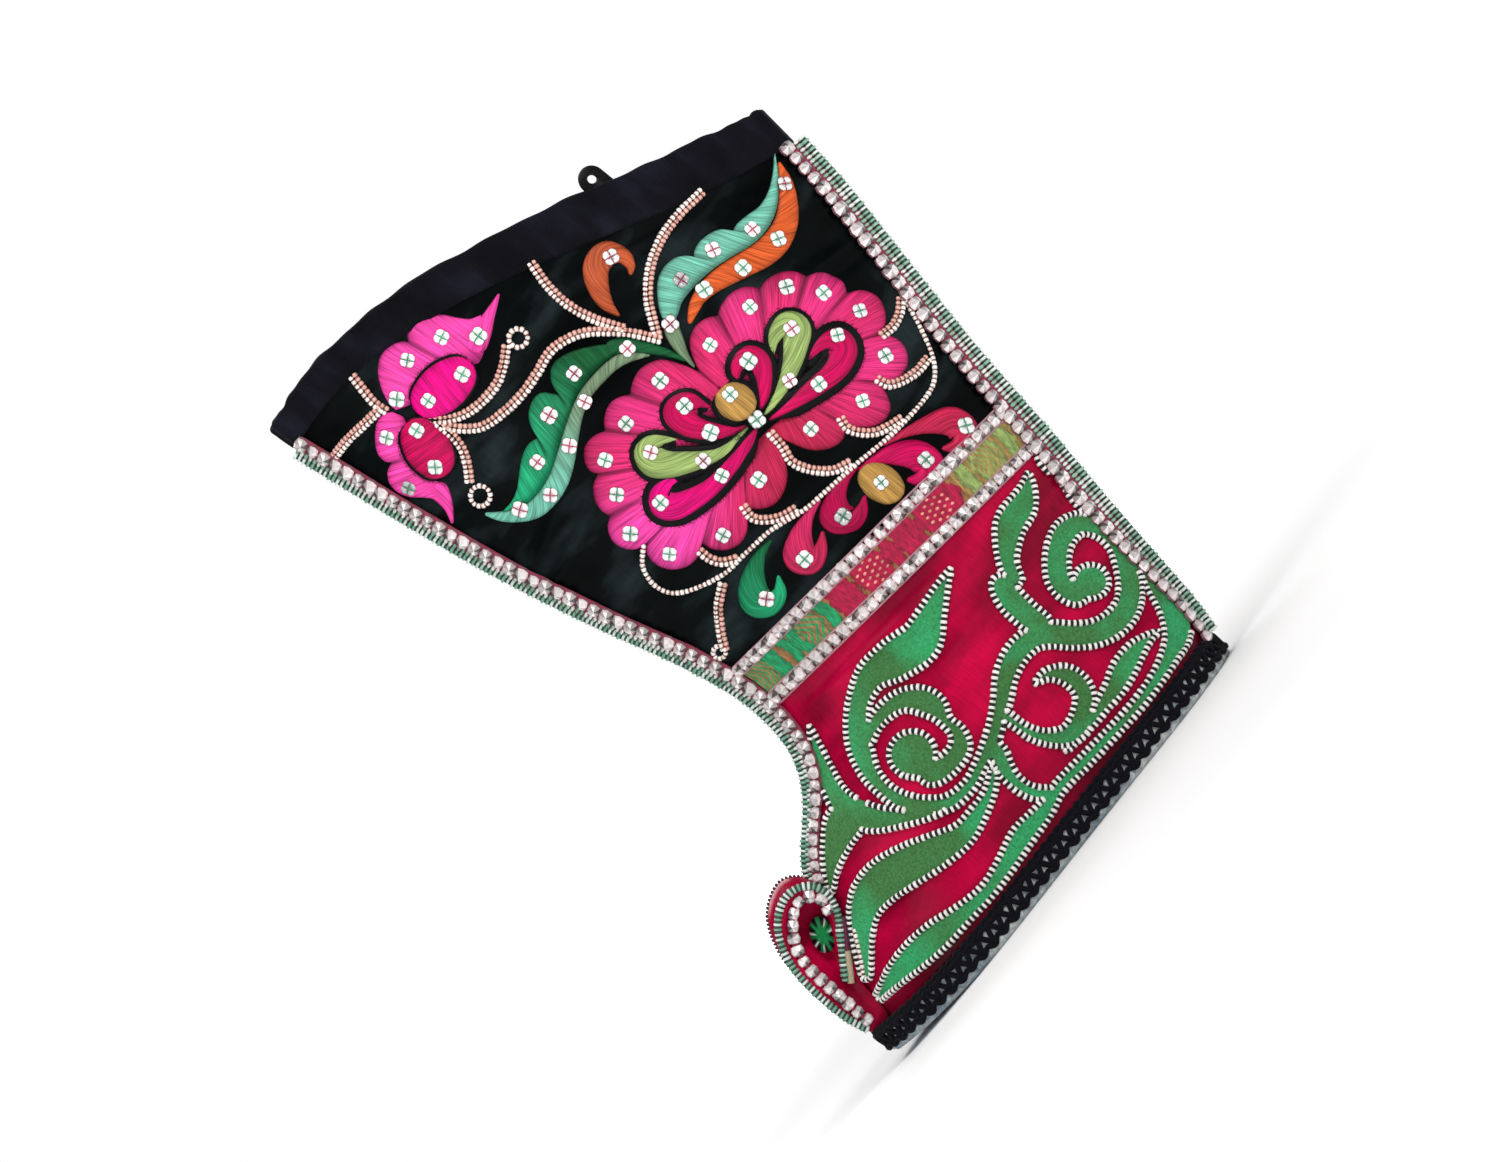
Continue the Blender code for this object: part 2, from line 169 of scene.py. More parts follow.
# Lobed areas of one panel: a lobe starts in its valley and ends at the next one's, and threads run out
# from the base
FANS = (
    # silk of each lobe, base, lobes
    (("rose", "pink", "rose", "pink", "hot_pink", "hot_pink", "rose", "coral", "coral", "rose", "pink",
      "rose", "pink", "rose", "pink", "rose"),
     ((52, 242), (80, 241), (95, 237), (97, 230), (84, 224), (53, 222), (24, 219), (8, 222), (7, 232),
      (20, 240), (52, 242)),
     (((51.5, 263.5), (54, 272), (58.5, 280.5), (67, 284.4), (74.5, 283)),
      ((79.5, 280.2), (84, 283.4), (89, 284.6), (95, 282.6)),
      ((100, 278.5), (105, 281), (111, 281.2), (116, 277.8), (118.7, 272.5)),
      ((117.5, 268.7), (123, 267), (127.5, 262.5), (129.6, 257)),
      ((129.2, 252.3), (134, 249.8), (137.4, 244), (136.5, 237.5), (133, 233)),
      ((128, 231.2), (132, 228), (133, 221), (130.3, 214.5), (125, 210), (118.5, 208.8)),
      ((112.5, 211.5), (111, 205), (107, 199.8), (101, 197.3), (95, 198.4), (91, 201.5)),
      ((87.5, 207.5), (85, 202.5), (80.5, 198.3), (75, 196.7), (68, 198.4), (61.5, 203), (57, 210.5)),
      ((53, 219.5), (50.5, 209.5), (47.5, 201.5), (42.5, 196.3), (37, 194), (32, 194.7)),
      ((28.3, 198.5), (25.5, 192), (20.5, 187.5), (14.5, 185.6), (8.5, 187.5), (4.8, 193)),
      ((3, 199), (-0.5, 194.8), (-7, 192.6), (-13.5, 194.3), (-18, 199.8), (-18.3, 206)),
      ((-14.5, 212.2), (-20.5, 213), (-26, 218), (-28.2, 224), (-26, 231)),
      ((-20.5, 235.5), (-23.3, 240), (-23.2, 246), (-19.5, 251.5)),
      ((-14, 255), (-12.8, 260.5), (-8, 265.5), (-2, 268)),
      ((3.8, 268.4), (8, 274), (14.5, 276.8), (21, 276.5)),
      ((26, 274.6), (30.5, 277.8), (37, 278.8), (43.5, 276), (48, 270.5)),
      ((51.5, 263.5),))),
    (("jade", "emerald", "leaf_green"),
     ((158.5, 292.8), (153, 288.6), (146, 285.8), (138, 285.2), (128, 287), (118, 290.8), (108, 294.6),
      (97, 298), (86, 299.4), (76, 298.8), (68, 297.2), (62, 297)),
     (((158.5, 292.8), (152, 292.4), (146, 294), (139, 298), (132, 301.5), (126, 302.3)),
      ((121, 300.3), (119.8, 306), (116, 310.8), (110, 313.3), (104.5, 312.3)),
      ((100, 305), (98.3, 311), (93.5, 315.6), (88, 316.2), (80, 313), (71, 306.2)),
      ((62, 297),))),
    (("mint", "mint", "mint"),
     ((44, 288), (38, 288.2), (31, 290.9), (22, 291.3), (10, 290), (0, 287), (-9, 283.8), (-18, 282.7),
      (-27, 284.3), (-35, 288.5), (-43, 295), (-50.8, 303.5)),
     (((44, 288), (42.5, 293.5), (38.5, 299), (32, 305), (25.5, 307.7), (18.5, 307.2), (14, 304.3)),
      ((12, 300.4), (9, 302.3), (4, 303.1), (-2, 301.8), (-6.5, 299)),
      ((-8.7, 294.3), (-13, 295.1), (-19, 294.1), (-26, 292.4), (-34, 293.6), (-42, 297.4)),
      ((-50.8, 303.5),))),
    (("hot_pink", "hot_pink"),
     ((152.8, 360.5), (145, 356), (130, 352), (116, 348), (112, 343.5), (103, 346), (97, 350.5),
      (94, 356.3)),
     (((152.8, 360.5), (151.8, 366.5), (148.8, 372.5), (144, 377.8), (138, 380.9), (131.5, 380.5),
       (127, 378)),
      ((124.7, 375), (121, 378.2), (115.5, 378.9), (109.5, 376), (105, 370.3), (102, 364.5), (98.5, 359)),
      ((94, 356.3),))),
    (("hot_pink", "hot_pink"),
     ((154.5, 361.5), (153, 355), (160, 347), (166, 338), (167, 328), (166, 321), (173.8, 317)),
     (((154.5, 361.5), (158, 364), (163, 364), (169, 360.6), (174, 355.5), (175, 350.5)),
      ((173.4, 347.4), (178, 346.4), (181.6, 342.6), (182.5, 337), (180.5, 331), (177, 326.3),
       (174.4, 322)),
      ((173.8, 317),))),
)
FAN_PROFILE = np.array((
    # share from the base to the edge, share of the height, tone as painted shade at the base and edge and
    # painted highlight between
    (0.0, 0.70, 0.80), (0.30, 0.90, 1.00), (0.55, 1.00, 1.12), (0.72, 1.00, 1.06), (0.84, 0.93, 0.95),
    (0.92, 0.78, 0.82), (0.97, 0.50, 0.62), (1.00, 0.05, 0.45),
))

# Stitched petals of one panel: a petal without a width gives one at each knot of its spine, and several
# silks blend along it. Threads run along the spine at angle 0 and across it at 90. A rim of black silk
# surrounds some petals.
PETALS = (
    # silk, width, thread angle, rim, spine
    ("crimson", 0, 10, 2.2,
     ((57, 230.6, 1), (62, 233, 3.2), (67, 238, 7), (71.5, 245, 9.5), (73.3, 251, 12), (71.5, 257.5, 15.5),
      (66, 257.8, 11), (62.3, 252.5, 4), (60.8, 247.5, 1))),
    ("olive", 0, 15, 2.6,
     ((57, 229.7, 1), (63, 229.8, 2.6), (70, 230.2, 4.5), (76, 232, 5.8), (82, 235.8, 8), (88, 240.8, 10.5),
      (93.3, 246, 12.5), (96.5, 252, 14.5), (95.5, 257.5, 11.5), (90.5, 258, 8), (86, 254.8, 4.6),
      (81.3, 249.7, 0.8))),
    ("crimson magenta", 0, 10, 3.4,
     ((55, 226.3, 1), (62, 225, 4.5), (70, 224, 6), (80, 223.6, 7.3), (90, 224.4, 8.5), (99, 227.4, 10.5),
      (106.3, 231.6, 12.5), (109, 236.5, 13), (106.5, 240.7, 9), (100, 240.5, 5), (93.5, 236.6, 0.8))),
    ("crimson", 0, -10, 2.8,
     ((47.5, 230.8, 1), (43, 233, 4), (38.5, 236.2, 6), (34, 240.8, 8), (31, 246, 10.5), (31.8, 250.8, 11),
      (36.5, 252.6, 7.5), (41.3, 250.6, 4.5), (43.8, 246.5, 0.8))),
    ("olive", 0, -15, 2.2,
     ((48.5, 227.8, 1), (42, 228.4, 3.6), (35, 229.8, 5.3), (28, 231.8, 7), (21, 234.8, 9),
      (14, 238.8, 11.5), (8.3, 243.2, 13.5), (8.5, 247.8, 11.5), (14, 249, 8.3), (19.5, 247.3, 5),
      (24.6, 242.7, 0.8))),
    ("crimson", 0, -10, 3.6,
     ((49, 224.9, 1), (43, 223.2, 3.2), (36, 221.6, 5.5), (29, 220.3, 7.5), (22, 218.9, 9), (15, 217.7, 10),
      (8, 218, 11.5), (2, 221, 13.5), (1.2, 225.5, 13.5), (4.5, 229.2, 7.5), (11, 230.2, 4.2),
      (19.3, 229.2, 0.8))),
    ("gold", 17.5, 0, 2.6, ((52, 232), (51.6, 251.5))),
    ("mint mint sage sage", 0, 50, 0,
     ((165, 299, 1.2), (161, 292, 4.6), (155, 285.8, 7), (148, 281.6, 9), (140, 280.4, 9.8),
      (131, 281.3, 10), (122, 284.6, 9.4), (112, 289.2, 7.8), (102, 293.5, 6.4), (92, 296, 6), (82, 296, 6),
      (74, 295.2, 6), (67, 292.5, 5.6), (59.5, 285, 0.8))),
    ("leaf_green", 0, 30, 0,
     ((70, 303, 6), (64, 297, 8), (60, 291.5, 6.5), (56.5, 285.5, 5), (53.5, 279, 3.6), (51.3, 271, 1.2))),
    ("orange", 0, -50, 0,
     ((37.5, 281.5, 1.5), (31, 284.5, 5), (25, 286.3, 6.5), (17, 286, 8.8), (8, 283.7, 10.8),
      (-1, 280.3, 11.8), (-10, 277, 12.8), (-19, 275.9, 12.8), (-28, 278, 11.2), (-36, 283.2, 9.3),
      (-43, 290.5, 6.5), (-48.5, 299, 1))),
    ("sage", 0, 0, 0, ((51.3, 266, 0.8), (49.5, 274, 4), (46.8, 281, 6.8), (43, 287.5, 7), (38.5, 292, 4))),
    ("hot_pink", 0, 10, 0,
     ((110, 349, 12), (100, 351, 9.5), (92, 353, 5.6), (86, 354.6, 3), (80.8, 356.2, 0.8))),
    ("hot_pink", 0, 10, 0,
     ((169, 326, 11), (170.5, 320, 8.6), (172.8, 314.5, 5), (175.3, 311, 2.8), (178.3, 307.5, 0.8))),
    ("magenta", 22, 90, 1.6, ((147.8, 353), (113.2, 345.5))),
    ("crimson", 21.5, 90, 1.8, ((152.5, 353), (161.5, 323))),
    ("russet", 0, 25, 0,
     ((54.5, 307.5, 1), (54, 316, 6.5), (50, 324.5, 10), (43.5, 331, 12), (36, 331.5, 12.5), (32, 325.5, 8),
      (33.5, 319.5, 4.5), (37, 316.5, 1))),
    ("leaf_green jade", 0, 25, 0,
     ((90.5, 187.3, 1), (101, 186.5, 6), (111, 182, 12), (117, 175.5, 15.5), (114.5, 169.5, 12),
      (107.5, 169, 7), (101.5, 174.8, 1))),
    ("rose coral", 0, 20, 0,
     ((62, 182.8, 1), (72, 181.5, 5), (81.5, 178, 11), (88.5, 172, 16), (87.5, 166.5, 11), (80, 167.5, 6.5),
      (72.5, 172.5, 1))),
    ("wine", 0, 20, 0,
     ((39, 180.6, 1), (48, 180.5, 4), (57, 178, 9.5), (63.5, 171.5, 16.5), (61, 165.5, 10),
      (55, 165.5, 6.5), (47.5, 169.5, 1))),
    ("gold", 17.5, 0, 0, ((39, 156), (38.5, 179.5))),
    ("crimson", 0, 20, 0,
     ((41, 179.5, 1), (33, 177.5, 4), (25, 172.5, 10), (18.5, 164.5, 14.5), (18.5, 156.5, 14),
      (25, 155.5, 9), (30.5, 160.5, 1.5))),
    ("coral", 0, 20, 0,
     ((25, 178.8, 1), (14, 175, 4), (4, 169.5, 8.5), (-4, 162, 14.5), (-4, 154.3, 14), (2.5, 153, 8.5),
      (9, 158, 1.2))),
)

# Sequins of one panel
SEQUINS_GREEN_STITCH = (
    (131, 370), (148, 363), (113, 364), (102, 351), (139, 351), (120, 346), (165, 356), (153, 347),
    (177, 334), (161, 330), (110, 270), (91, 273), (66, 274), (119, 256), (129, 240), (125, 220),
    (103, 206), (73, 210), (40, 208), (15, 199), (-8, 204), (-17, 226), (-13, 244), (-4, 259), (14, 266),
    (39, 268), (68, 258), (70, 241), (34, 250), (109, 238), (82, 224), (-1, 227), (22, 219), (51, 246),
    (52, 229), (21, 287), (2, 280), (-19, 276), (88, 170), (62, 170), (39, 168), (18, 160), (-6, 156),
)
SEQUINS_PINK_STITCH = (
    (88, 306), (110, 303), (130, 294), (152, 287), (95, 294), (115, 287), (138, 280), (64, 295), (24, 298),
    (4, 296), (-15, 288), (-41, 290), (43, 288), (36, 329), (113, 172), (94, 256), (82, 235), (10, 245),
    (29, 230),
)

# Couched foil cord on one panel: routes of two rows, routes of one row, the route beside the rolled toe,
# and eyes
FOIL_PAIRS = (
    ((189, 370.5), (178, 370), (168, 368.3), (157, 366.5)),
    ((153, 385.5), (154.8, 378), (156.3, 370.5), (155.8, 364)),
    ((146, 345), (141.5, 339.5), (134, 334), (125, 331.3), (114, 331), (105, 334), (98, 338)),
    ((145, 341), (145.5, 333), (147.5, 325), (152, 318.5), (157, 313.5)),
    ((144, 338), (140, 330.5), (133.5, 324), (122, 320.3), (110, 318.8), (98, 319.5), (88, 321),
     (80, 319.5), (71, 315), (63, 306.5), (57, 298), (51.5, 287)),
    ((61, 354), (64.5, 341), (65.3, 328), (62.5, 314), (58, 303)),
    ((-14, 317), (0, 318.5), (14, 317.5), (28, 312.5), (40, 303.5), (50, 290)),
    ((115.5, 209.5), (115.3, 203.5), (113, 198.5), (108, 194.5)),
    ((87, 207), (88.5, 201), (86, 196), (80, 191), (73, 188.5)),
    ((53, 220), (54.5, 212), (57, 205), (56, 199), (53, 193), (48, 187.5), (41, 184.5)),
    ((27.5, 201), (29, 196), (27, 190.5), (22, 185), (15, 182), (10, 180.5)),
    ((2.5, 200), (1.5, 195), (-4, 191), (-12, 188.5), (-20, 188.2)),
    ((-15, 211), (-22, 209.8), (-29, 211.5), (-34, 215)),
    ((121, 192), (131, 186.5), (139, 178.5), (143.5, 172.5)),
)
FOIL_SINGLES = (
    ((130, 231.5), (134, 229), (137.5, 226), (140, 221), (140.8, 215), (139, 208.5), (135, 204), (129, 200),
     (122, 196.5), (115, 194), (106, 193), (95, 191.5), (88, 190.5), (80, 188), (70, 185), (60, 183.8),
     (40, 182), (20, 179.3), (5, 178.2), (-5, 178), (-12, 179), (-18, 182.5), (-23, 188), (-28, 197),
     (-32, 206), (-38, 221)),
)
FOIL_TOE = ((224, 25.5), (219.5, 30.5), (214.5, 36.5), (209, 43.5))
FOIL_EYES = (
    # x, z, radius
    (91.5, 336.2, 4.3), (159.3, 305.3, 4.7), (146.3, 173.4, 3.0),
)

# Green felt scrolls on the foot of one panel
FELT_STROKES = (
    # x, z, width of each knot
    ((230, 13.5, 1.5), (222, 15, 5), (210, 15.8, 10), (198, 15, 13), (185, 13.2, 13), (170, 10.5, 9),
     (155, 8.5, 7), (140, 9.5, 8.5), (125, 11.5, 10.5), (110, 11, 8), (98, 12.2, 6), (80, 11.5, 6),
     (60, 12.2, 5.5), (45, 13.5, 5.5), (30, 16, 6), (18, 19, 8), (8, 22.5, 12), (0, 31, 13), (-5, 42, 12),
     (-9, 55, 9), (-12, 70, 8)),
    ((50, 118, 0.8), (60, 114.5, 6), (72, 109.5, 12), (85, 105, 19), (98, 108, 19), (110, 111.5, 14),
     (122, 109, 10.5), (132, 102.5, 11), (140, 94, 11), (146, 84, 8.5), (148, 74, 7), (147, 64, 8),
     (142, 54.5, 8), (134, 47.5, 7), (122, 45.2, 6), (112, 47, 6), (102, 49.5, 7), (92, 53.5, 7),
     (82, 59, 8), (72, 65.5, 9.5), (62, 69, 10.5), (52, 69, 11), (45, 65, 12), (39, 57.5, 12),
     (31, 50.5, 12), (21, 47.3, 12), (11, 48.5, 11.5), (3, 53.5, 11), (-3, 61, 10), (-7.5, 70, 8.5),
     (-8.5, 80, 9.5), (-4, 88.5, 10), (3, 91, 11.5), (10, 89.5, 11), (17, 85, 11), (22.5, 78.5, 11),
     (23, 70.5, 11), (18.5, 66, 12)),
    ((21.5, 69.5, 15), (13, 68, 16), (5.5, 68.5, 15)),
    ((139, 94, 9), (130, 96, 7), (120, 96.3, 8), (111, 93.5, 9.5), (105.5, 87, 12), (104, 80, 11),
     (105.8, 72, 5.5), (106.5, 65, 7), (111, 59.5, 9.5), (119, 58.7, 10), (127, 61.5, 12), (132, 67, 12)),
    ((137.8, 72, 20), (128, 74, 21), (116.5, 76, 18)),
    ((-9, 76, 9), (-12, 88, 6.5), (-14, 99, 6), (-16.5, 109, 2)),
    ((-15.5, 112, 4), (-18.5, 122, 7)),
    ((44.5, 66, 12), (44.5, 78, 12), (43.5, 88, 12), (41, 96, 10), (38, 100.5, 5)),
    ((37, 91, 8), (31, 101.3, 8), (25, 107, 10.5), (16, 112.5, 13.5), (6, 114, 12.5), (-2, 117, 7),
     (-8, 121, 1)),
    ((87, 55, 6), (86.5, 46, 4.5), (85.5, 38, 5.5), (82, 31, 7), (76, 25.5, 9.5), (69, 25.2, 10.5),
     (62, 29, 9), (56.5, 33.5, 8.5), (54, 40, 9), (55, 47, 8.5), (60, 52.3, 5), (67, 53.5, 1)),
    ((82, 21.5, 2.5), (66, 22, 4), (55, 24.5, 6.5), (45, 26.5, 9), (35, 30, 10.5), (25, 32, 8),
     (17, 31.5, 3.5), (12, 30, 0.8)),
    ((100, 47.5, 8), (105, 40, 8.5), (107.5, 32, 6.5), (107.5, 24, 6), (105, 17.5, 6), (100, 12.5, 5)),
    ((108, 42, 4), (118, 36.5, 5), (130, 34, 8), (142, 33.5, 11), (155, 38, 15.5), (168, 43.5, 18.5),
     (180, 47.5, 19), (190, 48, 17), (198, 45.5, 13.5), (206, 40, 10), (214, 32.5, 7), (222, 24, 4)),
    ((147, 119, 0.8), (152, 111, 4), (158, 101, 7), (163.5, 90, 9.5), (165.5, 80, 13), (162, 70, 12),
     (154, 60.5, 8), (145, 53, 6), (136, 48.3, 6)),
    ((160, 77, 14), (171, 78, 17), (182, 74.5, 12), (192, 69.5, 7), (201, 62.5, 2.5)),
)

# Brocade of the ankle ribbon: satin blocks on a tan ground, and where their colours change
RIBBON_GREEN_TO = 97.5
RIBBON_OLIVE_FROM = 17.0
RIBBON_MEDALLIONS = (73.0, 32.0)
RIBBON_HATCHES = ((143.0, 6.0), (111.0, 6.0), (-1.0, 6.0), (-22.0, 4.0))
RIBBON_BLOCKS = np.array((
    # x, half length at mid height, half length at the edges, lean of the middle
    (143.0, 6.0, 6.4, 0.0), (133.5, 3.8, 3.2, 1.5), (125.0, 2.6, 2.4, -2.0), (118.0, 4.0, 3.2, 2.5),
    (111.0, 7.0, 3.0, 0.0), (101.5, 3.6, 2.4, -2.5), (90.0, 7.6, 5.8, 0.0), (73.0, 9.6, 6.4, 0.0),
    (60.5, 4.6, 1.2, 0.0), (52.0, 5.4, 3.4, 0.0), (46.0, 3.4, 1.6, 0.0), (31.0, 14.0, 7.5, 0.0),
    (11.5, 3.6, 2.6, 1.5), (-1.0, 8.6, 5.5, 0.0), (-13.5, 3.4, 2.2, -2.0), (-21.5, 3.2, 3.2, 0.0),
))

# Outline of the rolled toe, in boot places: z is the height above the floor
TOE_ROLL_CENTRE = np.array((219.5, 66.5))
TOE_ROLL_OUTLINE = np.array((
    # x, z, half width, bulge, opening of the hollow
    (240.0, 19.6, 6.5, 0.0, 0.7), (243.0, 38.0, 10.5, 0.0, 1.0), (243.0, 57.0, 13.5, 0.0, 1.0),
    (238.0, 75.0, 14.0, 1.0, 1.0), (228.0, 88.0, 14.0, 3.0, 1.0), (215.0, 93.0, 14.0, 3.5, 1.0),
    (206.5, 89.0, 14.0, 2.0, 1.0), (203.0, 80.0, 13.0, 0.0, 0.9), (206.0, 69.0, 12.0, 0.0, 0.7),
    (216.8, 52.5, 11.0, 0.0, 0.45), (227.0, 36.0, 9.5, 0.0, 0.4), (229.0, 20.0, 7.5, 0.0, 0.5),
))
TOE_ROLL_RINGS = np.array((
    # reach, share of the width, share of the bulge
    (0.00, 0.30, 0.0), (0.16, 0.32, 0.0), (0.34, 0.37, 0.0), (0.50, 0.50, 0.0), (0.62, 0.68, 0.0),
    (0.70, 0.88, 0.0), (0.76, 0.97, 0.0), (0.86, 1.00, 0.0), (0.95, 0.99, 0.0), (1.00, 0.92, 0.1),
    (1.01, 0.70, 0.6), (1.01, 0.36, 1.0), (1.01, 0.00, 1.1),
))
TOE_BUTTON_Y = 8.0
TOE_BUTTON_SIZE = (5.7, 3.9, 8.8)
TOE_BUTTON_TILT = math.radians(-33.0)
TOE_BUTTON_EYE = math.radians(38.0)

# Pull tab, and its distance from the wall
PULL_ALONG = 12.0
PULL_WIDTH = 13.0
PULL_ABOVE = 13.0
PULL_BELOW = 17.0
PULL_THICKNESS = 2.2
PULL_HOLE = 2.1
PULL_BEVEL = 0.6
PULL_GAP = 1.9

# Camera: the view has the photo's roll and scale, with the boot in the middle
FRAME_WIDTH = 0.693
VIEW_ROLL = math.radians(51.25)
VIEW_DISTANCE = 2.4
VIEW_TARGET = (112.0, 30.0, 196.0)
SENSOR = 36.0

# Tones of satin, as painted sheen and shade: share of the noise, share of the colour; heights in metres
# between which painted shade near the sole fades out
SATIN_TONES = ((0.36, 0.46), (0.64, 1.15))
# The black satin's brightest tone is a painted highlight on its folds
BLACK_SHEEN_TONES = ((0.36, 0.3), (0.53, 0.9), (0.7, 6.5))
SATIN_SHADOW = (0.010, 0.036)
TWILL_ANGLE = math.radians(38)
WOOL_TWIST = 260.0
FLOOR_TONE = 0.88
FLOOR_GLOW = (0.3, 1.3)

# Colour sockets of a Mix node, seeds of the trees, and the distance in metres at which points are merged
MIX_FIRST = 6
MIX_SECOND = 7
MIX_RESULT = 2
TURN_SEED = 13
ROW_SEED = 11
SCATTER_SEED = 23
MERGE_DISTANCE = 0.00001


def length(name, description, millimetres):
    """A length that the sidebar shows."""
    return bpy.props.FloatProperty(
        name=name, description=description, default=millimetres * MM, unit="LENGTH")


def paint(name, description, *colour):
    """A colour that the sidebar shows, from 0 to 255 values."""
    return bpy.props.FloatVectorProperty(
        name=name, description=description, default=srgb(*colour), subtype="COLOR")


class BootSizes(bpy.types.PropertyGroup):
    """Sizes of the trims that a maker would change."""

    felt_height: length("Felt height", "How far the felt scrolls stand out", 1.1)
    petal_height: length("Petal height", "How far the stitched petals stand out", 2.0)
    cord_pitch: length("Cord pitch", "Length of one wrap of the couched cord", 2.7)
    cord_width: length("Cord width", "Width of the couched cord", 3.2)
    foil_pitch: length("Foil pitch", "Length of one bead of the foil cord", 2.3)
    foil_width: length("Foil width", "Width of one row of the foil cord", 2.5)
    sequin_width: length("Sequin width", "Diameter of a sequin", 8.0)
    puff_pitch: length("Puff pitch", "Distance between two foil puffs", 6.0)
    braid_pitch: length("Braid pitch", "Distance between two folds of the foil braid", 6.2)
    wrap_pitch: length("Wrap pitch", "Distance between two threads on the ridge cord", 2.3)
    yarn_pitch: length("Yarn pitch", "Length of one zigzag of the wool on the sole", 7.4)
    yarn_width: length("Yarn width", "Thickness of the wool on the sole", 2.8)


class BootColours(bpy.types.PropertyGroup):
    """Colours of the cloths and felts."""

    crimson: paint("Foot satin", "Satin of the foot", 182, 0, 57)
    night: paint("Shaft satin", "Satin of the shaft", 7, 11, 12)
    binding: paint("Binding", "Twill of the collar", 9, 9, 17)
    felt_green: paint("Scroll felt", "Felt of the scrolls", 56, 160, 100)
    sole_felt: paint("Sole felt", "Felt of the sole", 206, 212, 212)
    wool: paint("Wool", "Wool on the edge of the sole", 12, 12, 18)
    foil: paint("Foil", "Silver foil", 246, 243, 242)
    stitch_pink: paint("Pink thread", "Thread between the foil", 170, 52, 84)
    stitch_green: paint("Green thread", "Thread of the sequins", 70, 150, 112)


def smooth_values(keys, values, at):
    """Values on a smooth curve through the keyed ones; values may have several columns."""
    keys = np.asarray(keys, float)
    values = np.asarray(values, float)
    at = np.asarray(at, float)
    i = np.clip(np.searchsorted(keys, at, side="right") - 1, 0, len(keys) - 2)
    low = np.maximum(np.arange(len(keys)) - 1, 0)
    high = np.minimum(np.arange(len(keys)) + 1, len(keys) - 1)
    spread = keys[high] - keys[low]
    wide = values.ndim > 1
    slopes = (values[high] - values[low]) / (spread[:, None] if wide else spread)
    span = keys[i + 1] - keys[i]
    part = (at - keys[i]) / span
    if wide:
        span = span[:, None]
        part = part[:, None]
    step = values[i + 1] - values[i]
    start = slopes[i] * span
    end = slopes[i + 1] * span
    return values[i] + part * (start + part * (3 * step - 2 * start - end + part * (start + end - 2 * step)))


LEVELS = np.linspace(SOLE_LEVEL, COLLAR_LEVEL, 1500)
LEVEL_SIZES = dict(zip(SECTION_COLUMNS, smooth_values(SECTIONS[:, 0], SECTIONS, LEVELS).T))


def section(level, *names):
    """Named sizes of the sections at these levels."""
    return [np.interp(level, LEVELS, LEVEL_SIZES[name]) for name in names]


def sole_fullness(along):
    """Half width of the sole divided by the half width of a unit circle."""
    return smooth_values(SOLE_OUTLINE[:, 0], SOLE_OUTLINE[:, 1], np.clip(along, -1, 1))


def toe_rise(x):
    """Rise of the sole above its flat tread."""
    return TOE_SPRING * (np.maximum(0, x - SPRING_START) / (SOLE_FRONT - SPRING_START)) ** 2


def place_along(c, level):
    """x and z of the places at c, from -1 on the back seam to 1 on the front seam."""
    back_x, back_z, front_x, front_z, crown, lean, share = section(
        level, "back_x", "back_z", "front_x", "front_z", "crown", "lean", "sole_share")
    along = (1 + c) / 2
    x = back_x + (front_x - back_x) * along
    z = back_z + (front_z - back_z) * along + crown * (1 - c * c) * (1 + lean * c) + share * toe_rise(x)
    return x, z


def bare_surface(theta, level):
    """Points on the outside of the uncreased cloth."""
    c = np.cos(theta)
    x, z = place_along(c, level)
    half_width, pinch, share = section(level, "half_width", "pinch", "sole_share")
    lens = half_width * (1 - pinch * c * c)
    y = np.sin(theta) * (share * (sole_fullness(c) - SOLE_MARGIN) + (1 - share) * lens)
    return np.stack((x, y, z), axis=-1)


def unit(vectors):
    """Vectors of length one."""
    return vectors / np.maximum(np.linalg.norm(vectors, axis=-1, keepdims=True), 1e-9)


def surface_normals(theta, level):
    """Outward normals of the uncreased cloth, level at the sole."""
    theta, level = np.broadcast_arrays(theta, level)
    turn = 0.01
    rise = 0.8
    around = bare_surface(theta + turn, level) - bare_surface(theta - turn, level)
    up = (bare_surface(theta, np.minimum(level + rise, COLLAR_LEVEL))
          - bare_surface(theta, np.maximum(level - rise, SOLE_LEVEL)))
    up[level <= SOLE_LEVEL] = (0.0, 0.0, 1.0)
    return unit(np.cross(around, up))


def crease_lift(x, z):
    """How far the creases raise or sink the cloth, with a slow unevenness all over."""
    lift = 0.35 * np.sin(0.071 * x + 0.043 * z + 1.0) * np.sin(0.052 * z - 0.033 * x)
    for crease_x, crease_z, angle, reach, width, depth in CREASES:
        turn = math.radians(angle)
        along = (x - crease_x) * math.cos(turn) + (z - crease_z) * math.sin(turn)
        across = (z - crease_z) * math.cos(turn) - (x - crease_x) * math.sin(turn)
        lift = lift + depth * np.exp(-(along / reach) ** 2 - (across / width) ** 2)
    return lift


def cloth(theta, level, out=0.0):
    """Points that stand out from the creased cloth, in millimetres."""
    theta, level, out = np.broadcast_arrays(theta, level, out)
    base = bare_surface(theta, level)
    seam = np.clip(np.abs(np.sin(theta)) / 0.35, 0, 1)
    edges = np.clip((level - SOLE_LEVEL) / 12, 0, 1) * np.clip((COLLAR_LEVEL - level) / 25, 0, 1)
    lift = crease_lift(base[..., 0], base[..., 2]) * seam * edges
    return base + surface_normals(theta, level) * (lift + out)[..., None]


def standing(x, z):
    """Height above the floor of a place on the flat panel."""
    reach = np.clip((HEEL_REACH - x) / HEEL_REACH, 0, 1)
    reach = reach * reach * (3 - 2 * reach)
    height = np.clip(z / DROP_FADE, 0, 1)
    height = height * height * (3 - 2 * height)
    return z + PANEL_RISE - HEEL_DROP * reach * (1 - DROP_FADED * height)


def share_along(x, level):
    """Place of an x at a level, from -1 on the back seam to 1 on the front seam."""
    back_x, front_x = section(level, "back_x", "front_x")
    return np.clip((2 * x - back_x - front_x) / (front_x - back_x), -1, 1)


